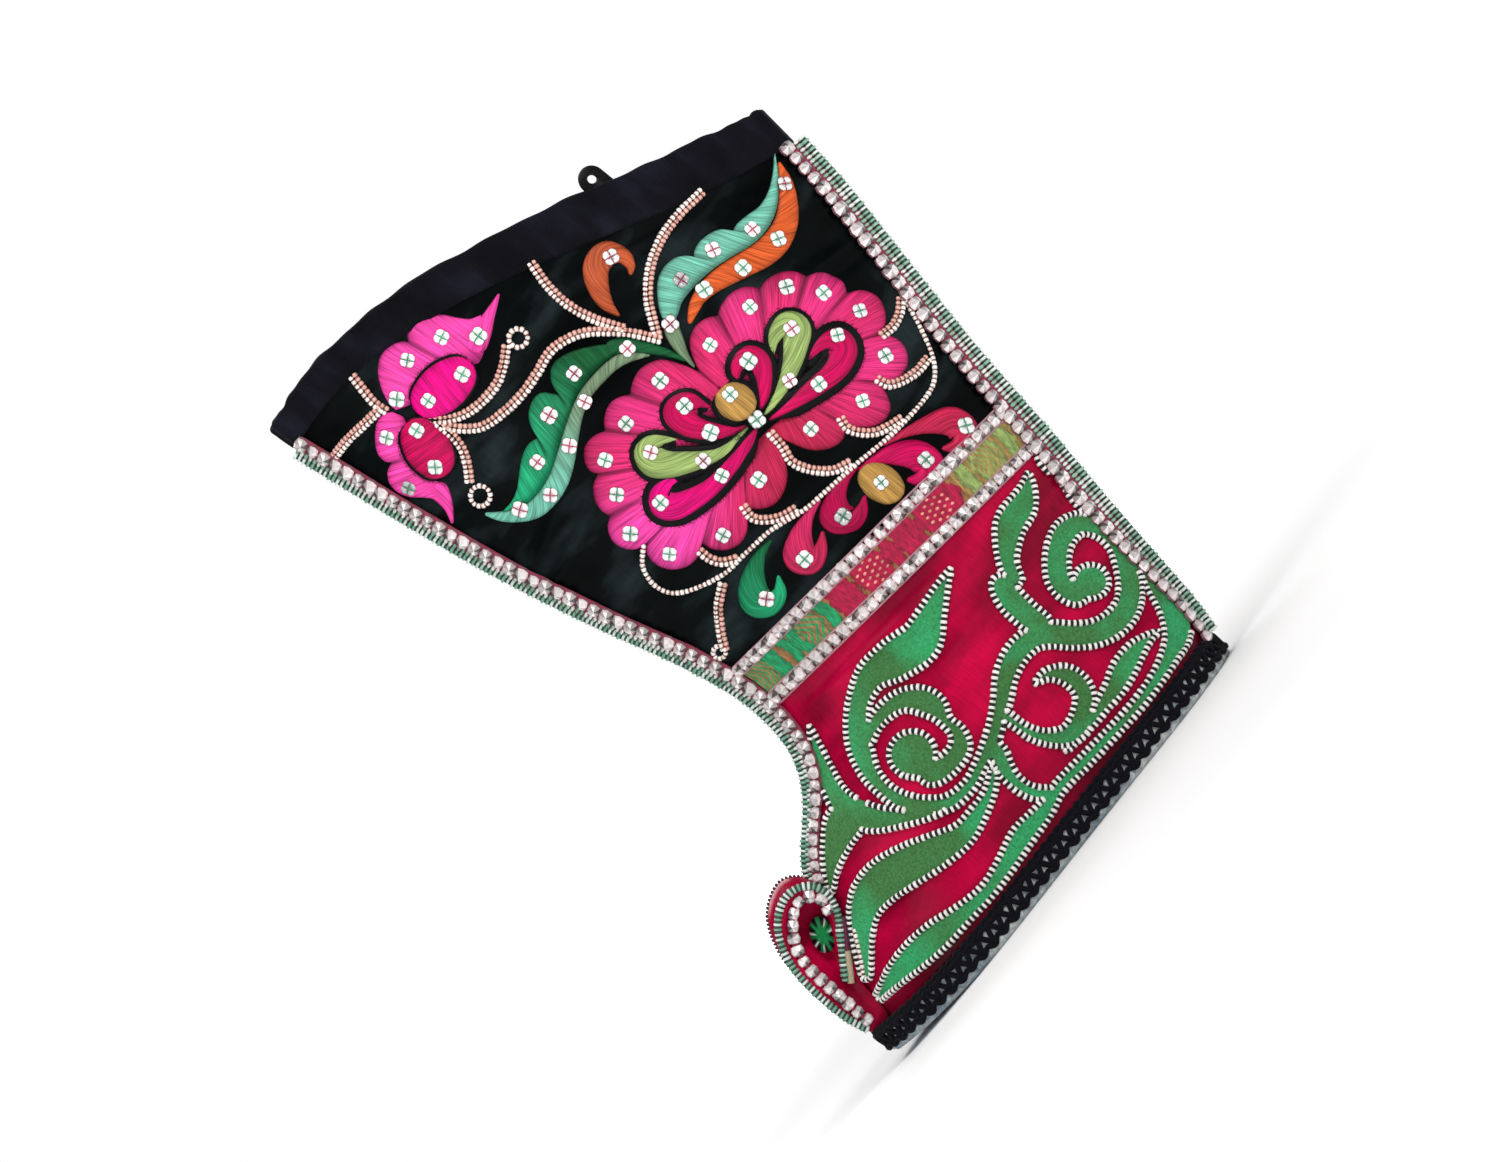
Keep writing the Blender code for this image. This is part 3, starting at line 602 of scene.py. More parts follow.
def panel_angles(x, z):
    """Angle and level of places on the near panel, from their x and their height above the floor."""
    low = np.full(np.shape(x), SOLE_LEVEL, float)
    high = np.full(np.shape(x), COLLAR_LEVEL, float)
    for _ in range(24):
        level = (low + high) / 2
        c = share_along(x, level)
        under = place_along(c, level)[1] < z
        low = np.where(under, level, low)
        high = np.where(under, high, level)
    return np.arccos(c), level


def on_panel(x, z, out=0.0):
    """Points over places on the flat near panel, in millimetres."""
    x = np.asarray(x, float)
    theta, level = panel_angles(x, standing(x, np.asarray(z, float)))
    return cloth(theta, level, out)


def panel_outward(x, z):
    """Outward directions over places on the flat near panel."""
    x = np.asarray(x, float)
    return surface_normals(*panel_angles(x, standing(x, np.asarray(z, float))))


def points_of(*parts):
    """Points from their coordinates, which are spread to one shape."""
    return np.stack(np.broadcast_arrays(*parts), axis=-1)


def run_length(path):
    """Length run along a path at each of its points."""
    return np.concatenate(((0.0,), np.cumsum(np.linalg.norm(np.diff(path, axis=0), axis=1))))


def smooth_path(knots, step):
    """Rows every step along a smooth curve through the knots, whose first two columns are the place."""
    knots = np.asarray(knots, float)
    lengths = np.linalg.norm(np.diff(knots[:, :2], axis=0), axis=1)
    apart = np.concatenate(((True,), lengths > 0.02))
    knots = knots[apart]
    keys = np.concatenate(((0.0,), np.cumsum(lengths[apart[1:]])))
    count = max(4, int(round(keys[-1] / step)) + 1)
    return smooth_values(keys, knots, np.linspace(0, keys[-1], count))


def path_sides(path):
    """Unit directions across a path on the panel."""
    ahead = unit(np.gradient(path[:, :2], axis=0))
    return np.stack((-ahead[:, 1], ahead[:, 0]), axis=1)


def to_metres(points):
    """Millimetres from the heel to metres from the origin."""
    points = np.asarray(points, float).reshape(-1, 3)
    return (points - (ORIGIN_X, 0.0, 0.0)) * MM


def weld(mesh):
    """Merges doubled points, drops slivers and turns the faces outwards."""
    shell = bmesh.new()
    shell.from_mesh(mesh)
    bmesh.ops.remove_doubles(shell, verts=shell.verts, dist=MERGE_DISTANCE)
    bmesh.ops.dissolve_degenerate(shell, edges=shell.edges, dist=MERGE_DISTANCE / 2)
    bmesh.ops.recalc_face_normals(shell, faces=shell.faces)
    shell.to_mesh(mesh)
    shell.free()


class Patchwork:
    """Gathers grids of points into one mesh with a UV map in metres and a colour for each point."""

    def __init__(self):
        self.points = []
        self.faces = []
        self.uvs = []
        self.colours = []
        self.count = 0

    def add(self, grid, uv=None, colour=(1.0, 1.0, 1.0), ring=False, loop=False, mirror=False):
        """Adds a grid: ring closes its columns, loop closes its rows and mirror adds the far side."""
        rows, columns = grid.shape[:2]
        place = np.arange(rows * columns).reshape(rows, columns)
        if loop:
            place = np.vstack((place, place[:1]))
        if ring:
            place = np.hstack((place, place[:, :1]))
        corners = (place[:-1, :-1], place[:-1, 1:], place[1:, 1:], place[1:, :-1])
        quads = np.stack(corners, axis=-1).reshape(-1, 4)
        uv = np.zeros((rows, columns, 2)) if uv is None else np.asarray(uv) * MM
        colours = np.broadcast_to(np.asarray(colour, float), (rows, columns, 3)).reshape(-1, 3)
        for side in ((1, -1) if mirror else (1,)):
            self.points.append(grid.reshape(-1, 3) * (1, side, 1))
            self.faces.append((quads if side == 1 else quads[:, ::-1]) + self.count)
            self.uvs.append(uv.reshape(-1, 2))
            self.colours.append(colours)
            self.count += rows * columns

    def build(self, name, material=None):
        """The mesh object, with doubled points welded and faces turned outwards."""
        mesh = bpy.data.meshes.new(name)
        points = to_metres(np.concatenate(self.points))
        mesh.from_pydata(points.tolist(), [], np.concatenate(self.faces).tolist())
        corner_points = np.empty(len(mesh.loops), int)
        mesh.loops.foreach_get("vertex_index", corner_points)
        layer = mesh.uv_layers.new(name="UVMap")
        layer.data.foreach_set("uv", np.concatenate(self.uvs)[corner_points].astype(np.float32).ravel())
        tint = mesh.attributes.new("tint", "FLOAT_COLOR", "POINT")
        rgba = np.ones((self.count, 4), np.float32)
        rgba[:, :3] = np.concatenate(self.colours)
        tint.data.foreach_set("color", rgba.ravel())
        weld(mesh)
        mesh.shade_smooth()
        return add_piece(name, mesh, material)


def add_piece(name, mesh, material=None):
    """A shown object at the origin with one material, or a shape to repeat without one."""
    mesh.materials.clear()
    if material:
        mesh.materials.append(material)
    piece = bpy.data.objects.new(name, mesh)
    bpy.context.scene.collection.objects.link(piece)
    return piece


def settle(piece, slot, *nodes):
    """The piece rides on the boot and stands for nodes of the frame; its slot is not used."""
    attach(piece, BODY)
    if nodes:
        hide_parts(*nodes)


def sew(name, material, slot, nodes, grid, **layout):
    """A piece from one grid with closed columns, which stands for nodes of the frame."""
    patch = Patchwork()
    patch.add(grid, ring=True, **layout)
    settle(patch.build(name, finish(material)), slot, *nodes)


class Nodes:
    """Short way to write a node tree."""

    def __init__(self, tree):
        self.tree = tree

    def add(self, kind, settings=None, **inputs):
        """A node with its settings; an input is a value or another node's output."""
        node = self.tree.nodes.new(kind)
        for name, value in (settings or {}).items():
            setattr(node, name, value)
        for name, value in inputs.items():
            self.put(node, name.replace("_", " "), value)
        return node

    def put(self, node, name, value):
        """Sets or links one input, by its name or its number."""
        socket = node.inputs[name]
        if isinstance(value, bpy.types.NodeSocket):
            self.tree.links.new(value, socket)
        else:
            socket.default_value = value

    def math(self, operation, *values):
        """Result of a Math node."""
        node = self.add("ShaderNodeMath", {"operation": operation})
        for number, value in enumerate(values):
            self.put(node, number, value)
        return node.outputs[0]


def coordinates(nodes, space="Object"):
    """The piece's own places, or its UV map."""
    return nodes.add("ShaderNodeTexCoord").outputs[space]


def attribute(nodes, name, output="Fac"):
    """A number stored on the piece, or a colour."""
    return nodes.add("ShaderNodeAttribute", {"attribute_name": name}).outputs[output]


def noise(nodes, scale, detail=2.0, stretch=(1.0, 1.0, 1.0), space="Object"):
    """Noise that is finer along an axis with a greater stretch."""
    mapped = nodes.add("ShaderNodeMapping", Vector=coordinates(nodes, space), Scale=stretch).outputs[0]
    return nodes.add("ShaderNodeTexNoise", Vector=mapped, Scale=scale, Detail=detail).outputs["Fac"]


def threads_of(nodes, across, along, detail):
    """Noise of threads that follow the UV map."""
    return noise(nodes, 1.0, detail, (across, along, 1.0), "UV")


def ramp(nodes, factor, *stops):
    """Colour ramp from (place, colour) stops."""
    node = nodes.add("ShaderNodeValToRGB", Fac=factor)
    elements = node.color_ramp.elements
    while len(elements) < len(stops):
        elements.new(0.5)
    for element, (place, colour) in zip(elements, stops):
        element.position = place
        element.color = (*colour, 1.0)
    return node.outputs["Color"]


def grey(value):
    """A grey of that brightness."""
    return (value, value, value)


def shade(colour, factor):
    """A darker or lighter colour."""
    return tuple(min(1.0, part * factor) for part in colour)


def multiply(nodes, first, second):
    """Product of two colours."""
    mix = nodes.add("ShaderNodeMix", {"data_type": "RGBA", "blend_type": "MULTIPLY"})
    mix.inputs[0].default_value = 1.0
    nodes.put(mix, MIX_FIRST, first)
    nodes.put(mix, MIX_SECOND, second)
    return mix.outputs[MIX_RESULT]


def tinted(nodes, colour, factor, low, high):
    """A colour multiplied by a grey that runs from low to high with the factor."""
    return multiply(nodes, colour, ramp(nodes, factor, (0.25, grey(low)), (0.75, grey(high))))


def dress(nodes, colour, relief, strength, depth, roughness, specular, sheen=0.0, metallic=0.0):
    """Gives the shader its colour, a bump whose depth is in metres, and its gloss."""
    shader = nodes.tree.nodes["Principled BSDF"]
    bump = nodes.add("ShaderNodeBump", Height=relief, Strength=strength, Distance=depth)
    nodes.put(shader, "Base Color", colour)
    nodes.put(shader, "Normal", bump.outputs["Normal"])
    nodes.put(shader, "Roughness", roughness)
    nodes.put(shader, "Specular IOR Level", specular)
    nodes.put(shader, "Sheen Weight", sheen)
    nodes.put(shader, "Metallic", metallic)


def satin(nodes, colour, roughness, tones=SATIN_TONES, gloss=0.07):
    """Satin: fine lengthwise threads, uneven tone as painted sheen and shade, a broad gloss, painted shade
    near the sole.
    """
    threads = noise(nodes, 1.0, 1.0, (1500.0, 1500.0, 60.0))
    cloud = noise(nodes, 24.0, 3.0, (0.7, 1.0, 1.9))
    # Painted sheen and shade: an uneven tone from a noise, with bright painted highlights on the black satin
    tone = ramp(nodes, cloud, *((share, shade(colour, factor)) for share, factor in tones))
    # Painted shade: the satin is darker towards the sole, where it meets it
    height = nodes.add("ShaderNodeSeparateXYZ", Vector=coordinates(nodes)).outputs["Z"]
    low, high = SATIN_SHADOW
    above = nodes.add("ShaderNodeMapRange", Value=height, From_Min=low, From_Max=high).outputs[0]
    lit = tinted(nodes, tone, above, 0.3, 1.0)
    uneven = ramp(nodes, cloud, (0.3, grey(roughness - 0.06)), (0.7, grey(roughness + 0.08)))
    dress(nodes, tinted(nodes, lit, threads, 0.82, 1.12), threads, 0.25, 0.00012, uneven, gloss)


def twill(nodes, colour):
    """Twill: fine diagonal ribs on cloth, with painted shade and sheen of soft folds."""
    slanted = nodes.add("ShaderNodeMapping", Vector=coordinates(nodes), Rotation=(0.0, TWILL_ANGLE, 0.0))
    wave = nodes.add("ShaderNodeTexWave", {"bands_direction": "X"}, Vector=slanted.outputs[0], Scale=420.0,
                     Distortion=0.6)
    ribs = wave.outputs["Fac"]
    cloud = noise(nodes, 38.0, 3.0, (1.6, 1.0, 0.7))
    # Painted shade and sheen of folds: dark and bright patches from a noise
    tone = ramp(nodes, cloud, (0.34, shade(colour, 0.5)), (0.52, colour), (0.72, shade(colour, 3.2)))
    dress(nodes, tinted(nodes, tone, ribs, 0.75, 1.25), ribs, 0.35, 0.0002, 0.75, 0.07, 0.02)


def felt(nodes, colour, other, fibre=900.0, depth=0.0004):
    """Felt: short tangled fibres in patches of two tones."""
    fibres = noise(nodes, fibre, 4.0)
    tone = ramp(nodes, noise(nodes, 18.0, 4.0), (0.4, other), (0.56, colour))
    dress(nodes, tinted(nodes, tone, fibres, 0.6, 1.25), fibres, 0.7, depth, 0.95, 0.1, 0.08)


def silk(nodes):
    """Satin stitch: threads side by side along the petal, coloured by the tint of each petal."""
    threads = threads_of(nodes, 1500.0, 50.0, 1.0)
    fine = tinted(nodes, attribute(nodes, "tint", "Color"), threads, 0.5, 1.35)
    colour = tinted(nodes, fine, threads_of(nodes, 500.0, 40.0, 2.0), 0.66, 1.24)
    dress(nodes, colour, threads, 0.6, 0.0003, 0.45, 0.12)


def foil(nodes, colour, roughness, metallic, dark_reflection=0.8):
    """Folded metal foil: each facet has its tint, painted light on the studs, and each piece its own tone, a
    few of them darker as painted reflections.
    """
    # Painted reflection: a few pieces are darker, as if reflecting dark surroundings
    tones = (0.05, shade(colour, dark_reflection)), (0.12, shade(colour, 0.9)), (1.0, shade(colour, 1.08))
    tone = ramp(nodes, attribute(nodes, "fate"), *tones)
    facets = multiply(nodes, tone, attribute(nodes, "tint", "Color"))
    creases = noise(nodes, 900.0)
    colour = tinted(nodes, facets, creases, 0.8, 1.08)
    dress(nodes, colour, creases, 0.25, 0.0003, roughness, 0.5, metallic=metallic)


def thread(nodes, colour, roughness=0.6, spread=0.35, other=None):
    """Wound thread, with a tone of its own for each wrap, or some wraps of another colour."""
    ends = (0.4, colour), (0.6, other)
    if not other:
        ends = (0.0, shade(colour, 1 - spread)), (1.0, shade(colour, 1 + spread))
    tone = ramp(nodes, attribute(nodes, "fate"), *ends)
    fibres = noise(nodes, 2600.0)
    dress(nodes, tinted(nodes, tone, fibres, 0.72, 1.15), fibres, 0.5, 0.0002, roughness, 0.35, 0.05)


def wool(nodes, colour):
    """Plied wool yarn: a twist along the run and loose fibres."""
    spiral = nodes.math("MULTIPLY_ADD", attribute(nodes, "run"), WOOL_TWIST, attribute(nodes, "turn"))
    fibres = noise(nodes, 1500.0, 4.0)
    relief = nodes.math("ADD", nodes.math("PINGPONG", spiral, 0.25), fibres)
    tone = ramp(nodes, fibres, (0.3, shade(colour, 0.6)), (0.75, shade(colour, 1.7)))
    dress(nodes, tone, relief, 0.8, 0.0005, 0.95, 0.1, 0.04)


def brocade(nodes):
    """Brocade ribbon: crosswise ribs with floating threads, coloured by the tint of its stretches."""
    ribs = threads_of(nodes, 1500.0, 260.0, 1.0)
    fine = tinted(nodes, attribute(nodes, "tint", "Color"), ribs, 0.55, 1.3)
    colour = tinted(nodes, fine, threads_of(nodes, 420.0, 160.0, 2.0), 0.55, 1.3)
    dress(nodes, colour, ribs, 0.7, 0.0004, 0.6, 0.3, 0.05)


def plastic(nodes, colour, roughness):
    """Smooth plastic with a fine uneven gloss."""
    specks = noise(nodes, 800.0, 3.0)
    uneven = ramp(nodes, specks, (0.3, grey(roughness)), (0.7, grey(roughness + 0.1)))
    tone = ramp(nodes, specks, (0.3, shade(colour, 0.8)), (0.7, shade(colour, 1.2)))
    dress(nodes, tone, specks, 0.1, 0.0001, uneven, 0.15)


def pale_floor(nodes):
    """Pale floor that glows a little far from the boot, where no lamp reaches."""
    shader = nodes.tree.nodes["Principled BSDF"]
    reach = nodes.add("ShaderNodeVectorMath", {"operation": "LENGTH"})
    nodes.put(reach, 0, coordinates(nodes))
    near, far = FLOOR_GLOW
    glow = nodes.add("ShaderNodeMapRange", {"interpolation_type": "SMOOTHSTEP"},
                     Value=reach.outputs["Value"], From_Min=near, From_Max=far)
    nodes.put(shader, "Base Color", (*grey(FLOOR_TONE), 1.0))
    nodes.put(shader, "Roughness", 0.9)
    nodes.put(shader, "Specular IOR Level", 0.1)
    nodes.put(shader, "Emission Color", (1.0, 1.0, 1.0, 1.0))
    nodes.put(shader, "Emission Strength", glow.outputs[0])


# Finish: its maker, a colour or the name of one in the sidebar, and the maker's other values
RECIPES = {
    "crimson_satin": (satin, "crimson", 0.34),
    "black_satin": (satin, "night", 0.32, BLACK_SHEEN_TONES, 0.03),
    "binding_twill": (twill, "binding"),
    "scroll_felt": (felt, "felt_green", srgb(66, 118, 66)),
    "sole_felt": (felt, "sole_felt", srgb(150, 166, 176), 600.0, 0.0008),
    "sock_felt": (felt, srgb(168, 150, 126), srgb(140, 124, 104)),
    "silk": (silk,),
    "brocade": (brocade,),
    "foil": (foil, "foil", 0.2, 0.3),
    "foil_bead": (foil, srgb(255, 248, 240), 0.3, 0.2),
    # Darker, warmer copy of the foil bead, partly painted shade
    "copper_bead": (foil, srgb(230, 180, 166), 0.3, 0.2),
    "sequin_foil": (foil, srgb(250, 250, 250), 0.25, 0.2, 0.4),
    "copper_core": (thread, srgb(168, 92, 80)),
    "white_wrap": (thread, srgb(240, 236, 232), 0.35, 0.08),
    "cord_core": (thread, srgb(28, 26, 32), 0.8),
    "stitch_pink": (thread, "stitch_pink"),
    "stitch_green": (thread, "stitch_green"),
    "pale_thread": (thread, srgb(206, 160, 172)),
    "purple_thread": (thread, srgb(92, 18, 52), 0.5, 0.35, srgb(30, 10, 28)),
    "ridge_core": (thread, srgb(62, 84, 74)),
    "ridge_green": (thread, srgb(112, 164, 138), 0.4, 0.35, srgb(212, 226, 218)),
    "ridge_pale": (thread, srgb(142, 186, 162), 0.4, 0.35, srgb(228, 240, 232)),
    "gold_thread": (thread, srgb(224, 150, 128), 0.5),
    "canvas": (thread, srgb(196, 180, 148), 0.9, 0.2),
    "wool": (wool, "wool"),
    "tab_plastic": (plastic, srgb(8, 9, 12), 0.22),
    "floor": (pale_floor,),
}
FINISHES = {}


def finish(name):
    """The named finish, made on first use."""
    if name not in FINISHES:
        maker, *values = RECIPES[name]
        colours = bpy.context.scene.boot_colours
        values = [getattr(colours, value) if isinstance(value, str) else value for value in values]
        FINISHES[name] = bpy.data.materials.new(name)
        FINISHES[name].use_nodes = True
        maker(Nodes(FINISHES[name].node_tree), *values)
    return FINISHES[name]


def new_tree(name, *inputs):
    """A geometry tree with a geometry input, more named inputs and a geometry output."""
    tree = bpy.data.node_groups.new(name, "GeometryNodeTree")
    tree.interface.new_socket("Geometry", in_out="INPUT", socket_type="NodeSocketGeometry")
    for input_name, kind in inputs:
        tree.interface.new_socket(input_name, in_out="INPUT", socket_type=f"NodeSocket{kind}")
    tree.interface.new_socket("Geometry", in_out="OUTPUT", socket_type="NodeSocketGeometry")
    nodes = Nodes(tree)
    start = nodes.add("NodeGroupInput")
    return tree, nodes, start


def end_tree(nodes, geometry, material):
    """Realizes the instances, sets the material and ends the tree."""
    real = nodes.add("GeometryNodeRealizeInstances", Geometry=geometry)
    painted = nodes.add("GeometryNodeSetMaterial", Geometry=real.outputs[0], Material=material)
    nodes.put(nodes.add("NodeGroupOutput"), 0, painted.outputs[0])


def outward_rotation(nodes):
    """Rotation that turns a piece's Z along the stored outward direction."""
    out = nodes.add("GeometryNodeInputNamedAttribute", {"data_type": "FLOAT_VECTOR"}, Name="out").outputs[0]
    return nodes.add("FunctionNodeAlignRotationToVector", {"axis": "Z"}, Vector=out).outputs[0]


def random_value(nodes, low, high, seed):
    """Random number for each point, from a fixed seed."""
    node = nodes.add("FunctionNodeRandomValue", {"data_type": "FLOAT"})
    node.inputs[2].default_value = low
    node.inputs[3].default_value = high
    node.inputs["Seed"].default_value = seed
    return node.outputs[1]


def store(nodes, geometry, name, value, domain="POINT"):
    """Geometry that carries a named number."""
    kind = {"data_type": "FLOAT", "domain": domain}
    node = nodes.add("GeometryNodeStoreNamedAttribute", kind, Geometry=geometry, Name=name, Value=value)
    return node.outputs[0]


def turned(nodes, rotation, angle):
    """A rotation followed by a turn about the piece's own Z."""
    spin = nodes.add("FunctionNodeAxisAngleToRotation", Angle=angle)
    both = nodes.add("FunctionNodeRotateRotation", {"rotation_space": "LOCAL"}, Rotation=rotation)
    nodes.put(both, 1, spin.outputs[0])
    return both.outputs[0]


def place_instances(nodes, start, points, rotation, seed):
    """Puts the piece on every point, a little uneven in size, and stores a random fate for its tone."""
    piece = nodes.add("GeometryNodeObjectInfo", Object=start.outputs["Piece"]).outputs["Geometry"]
    uneven = random_value(nodes, 0.9, 1.1, seed)
    size = nodes.add("ShaderNodeVectorMath", {"operation": "SCALE"}, Scale=uneven)
    nodes.put(size, 0, start.outputs["Size"])
    placed = nodes.add("GeometryNodeInstanceOnPoints", Points=points, Instance=piece, Rotation=rotation,
                       Scale=size.outputs[0])
    fate = random_value(nodes, 0.0, 1.0, seed + 1)
    return store(nodes, placed.outputs[0], "fate", fate, "INSTANCE")


def row_tree():
    """Pieces in a row along each path, lying on the surface, each turned by up to three random turns."""
    tree, nodes, start = new_tree(
        "row_along_path", ("Pitch", "Float"), ("Size", "Vector"), ("Piece", "Object"), ("Turn", "Float"),
        ("Material", "Material"))
    curve = nodes.add("GeometryNodeMeshToCurve", Mesh=start.outputs[0]).outputs[0]
    spaced = nodes.add("GeometryNodeResampleCurve", {"mode": "LENGTH"}, Curve=curve,
                       Length=start.outputs["Pitch"]).outputs[0]
    ahead = nodes.add("GeometryNodeInputTangent").outputs[0]
    facing = nodes.add("FunctionNodeAlignRotationToVector", {"axis": "X", "pivot_axis": "Z"},
                       Rotation=outward_rotation(nodes), Vector=ahead).outputs[0]
    turns = nodes.math("FLOOR", random_value(nodes, 0.0, 4.0, TURN_SEED))
    angle = nodes.math("MULTIPLY", turns, start.outputs["Turn"])
    placed = place_instances(nodes, start, spaced, turned(nodes, facing, angle), ROW_SEED)
    end_tree(nodes, placed, start.outputs["Material"])
    return tree


def scatter_tree():
    """One piece on each point, turned by the stored turn."""
    tree, nodes, start = new_tree(
        "piece_on_point", ("Size", "Vector"), ("Piece", "Object"), ("Material", "Material"))
    points = nodes.add("GeometryNodeMeshToPoints", Mesh=start.outputs[0]).outputs[0]
    turn = nodes.add("GeometryNodeInputNamedAttribute", {"data_type": "FLOAT"}, Name="turn").outputs[0]
    rotation = turned(nodes, outward_rotation(nodes), turn)
    placed = place_instances(nodes, start, points, rotation, SCATTER_SEED)
    end_tree(nodes, placed, start.outputs["Material"])
    return tree


def tube_tree():
    """A round cord along each path, with its run and turn stored for the twist."""
    tree, nodes, start = new_tree(
        "cord_along_path", ("Thickness", "Float"), ("Sides", "Int"), ("Material", "Material"))
    curve = nodes.add("GeometryNodeMeshToCurve", Mesh=start.outputs[0]).outputs[0]
    along = nodes.add("GeometryNodeSplineParameter")
    run = store(nodes, curve, "run", along.outputs["Length"])
    radius = nodes.math("MULTIPLY", start.outputs["Thickness"], 0.5)
    circle = nodes.add("GeometryNodeCurvePrimitiveCircle", Resolution=start.outputs["Sides"], Radius=radius)
    ring = store(nodes, circle.outputs[0], "turn", along.outputs["Factor"])
    tube = nodes.add("GeometryNodeCurveToMesh", Curve=run, Profile_Curve=ring, Fill_Caps=True)
    smooth = nodes.add("GeometryNodeSetShadeSmooth", Geometry=tube.outputs[0])
    end_tree(nodes, smooth.outputs[0], start.outputs["Material"])
    return tree


def shared_tree(name):
    """The named geometry tree, made on first use."""
    makers = {"row_along_path": row_tree, "piece_on_point": scatter_tree, "cord_along_path": tube_tree}
    return bpy.data.node_groups.get(name) or makers[name]()


def guide_mesh(name, paths, outwards, turns=None):
    """Open polylines, or loose points with turns, that carry the outward direction at each point."""
    edges = []
    count = 0
    for path in paths if turns is None else ():
        edges += [(k, k + 1) for k in range(count, count + len(path) - 1)]
        count += len(path)
    mesh = bpy.data.meshes.new(name)
    mesh.from_pydata(to_metres(np.concatenate(paths)).tolist(), edges, [])
    out = mesh.attributes.new("out", "FLOAT_VECTOR", "POINT")
    out.data.foreach_set("vector", np.concatenate(outwards).astype(np.float32).ravel())
    if turns is not None:
        turn = mesh.attributes.new("turn", "FLOAT", "POINT")
        turn.data.foreach_set("value", turns.astype(np.float32))
    return mesh


def grow(name, slot, mesh, tree, **inputs):
    """Runs a geometry tree on a mesh and keeps the result as a plain piece."""
    source = bpy.data.objects.new(name + "_source", mesh)
    bpy.context.scene.collection.objects.link(source)
    modifier = source.modifiers.new("grow", "NODES")
    modifier.node_group = tree
    sockets = {item.name: item.identifier for item in tree.interface.items_tree if item.in_out == "INPUT"}
    for input_name, value in inputs.items():
        modifier[sockets[input_name]] = value
    depsgraph = bpy.context.evaluated_depsgraph_get()
    grown = bpy.data.meshes.new_from_object(
        source.evaluated_get(depsgraph), preserve_all_data_layers=True, depsgraph=depsgraph)
    bpy.data.objects.remove(source)
    if not grown.polygons:
        raise RuntimeError(f"{name} has no faces")
    settle(add_piece(name, grown, inputs["Material"]), slot)


def row(name, material, slot, shape, pitch, size, paths, outwards, turn=0.0):
    """Pieces in rows along paths; the pitch is in metres and the size in millimetres."""
    grow(name, slot, guide_mesh(name, paths, outwards), shared_tree("row_along_path"), Pitch=pitch,
         Size=[value * MM for value in size], Piece=shape, Turn=turn, Material=finish(material))


def cord(name, material, slot, thickness, paths, outwards, sides=6):
    """Round cords along paths; the thickness is in metres."""
    grow(name, slot, guide_mesh(name, paths, outwards), shared_tree("cord_along_path"), Thickness=thickness,
         Sides=sides, Material=finish(material))


def scatter(name, material, slot, shape, size, points, outwards, turns):
    """One piece on each point; the size is in millimetres."""
    grow(name, slot, guide_mesh(name, [points], [outwards], turns), shared_tree("piece_on_point"),
         Size=[value * MM for value in size], Piece=shape, Material=finish(material))


def discard(*pieces):
    """Removes shapes that were only repeated."""
    for piece in pieces:
        bpy.data.objects.remove(piece)


def unit_shape(name, *grids):
    """A shape of size one that a tree repeats."""
    patch = Patchwork()
    for grid in grids:
        patch.add(grid / MM + (ORIGIN_X, 0.0, 0.0), ring=True)
    return patch.build(name)


def circle_turns(count, start=0.0):
    """Angles of points around a circle, the first at a share of a step."""
    return (np.arange(count) + start) * 2 * math.pi / count


def rounded_barrel(name, long_steps, round_steps):
    """Unit barrel along X with rounded ends: one wrap of thread, one bead or one hair."""
    along = np.linspace(-0.5, 0.5, long_steps + 2)[:, None]
    radius = 0.5 * np.sqrt(np.maximum(0.0, 1 - np.abs(2 * along) ** 3.5))
    turn = circle_turns(round_steps)
    return unit_shape(name, points_of(along, radius * np.cos(turn), radius * np.sin(turn)))


# Foil stud: radius and height of its rings, its peak, brightness of its facets as painted highlights and
# shade, reach of its corners, and the tints of its sides and facets: painted shade on the sides, pinkish
# painted reflections on the facets
STUD_RINGS = ((0.50, -0.15), (0.50, 0.12), (0.40, 0.28))
STUD_PEAK = (-0.07, -0.10, 0.54)
STUD_FACETS = (1.0, 0.74, 0.98, 0.5, 0.12, 0.4, 0.9, 0.62)
STUD_CORNER = 0.8
STUD_SKIRT = (0.34, 0.16, 0.2)
STUD_RIM = (1.0, 0.86, 0.86)
STUD_TOP = (1.0, 0.94, 0.95)


def faceted_puff(name):
    """Unit foil stud: a rounded rim and eight facets, with painted highlights, shade and reflections, that
    meet in an uneven peak.
    """
    side = ((1, 0), (STUD_CORNER, STUD_CORNER), (0, 1), (-STUD_CORNER, STUD_CORNER))
    square = [*side, *((-x, -y) for x, y in side)]
    points = [(x * radius, y * radius, height) for radius, height in STUD_RINGS for x, y in square]
    points.append(STUD_PEAK)
    count = len(square)
    faces = [tuple(range(count))[::-1]]
    tints = [grey(0.5)]
    for k, bright in enumerate(STUD_FACETS):
        n = (k + 1) % count
        for ring in (0, count):
            faces.append((ring + k, ring + n, ring + count + n, ring + count + k))
        faces.append((2 * count + k, 2 * count + n, 3 * count))
        # Painted light: facets lighter or darker as if lit from one side, the sides in painted shade
        tints += [STUD_SKIRT, shade(STUD_RIM, bright), shade(STUD_TOP, bright)]
    mesh = bpy.data.meshes.new(name)
    mesh.from_pydata(points, [], faces)
    layer = mesh.attributes.new("tint", "FLOAT_COLOR", "CORNER")
    for face, tint in zip(mesh.polygons, tints):
        for corner in face.loop_indices:
            layer.data[corner].color = (*tint, 1.0)
    return add_piece(name, mesh)


SEQUIN_PROFILE = np.array((
    # radius, height
    (0.0, 0.02), (0.16, 0.06), (0.32, 0.13), (0.44, 0.13), (0.5, 0.07), (0.49, 0.03), (0.3, 0.02),
    (0.0, -0.01),
))


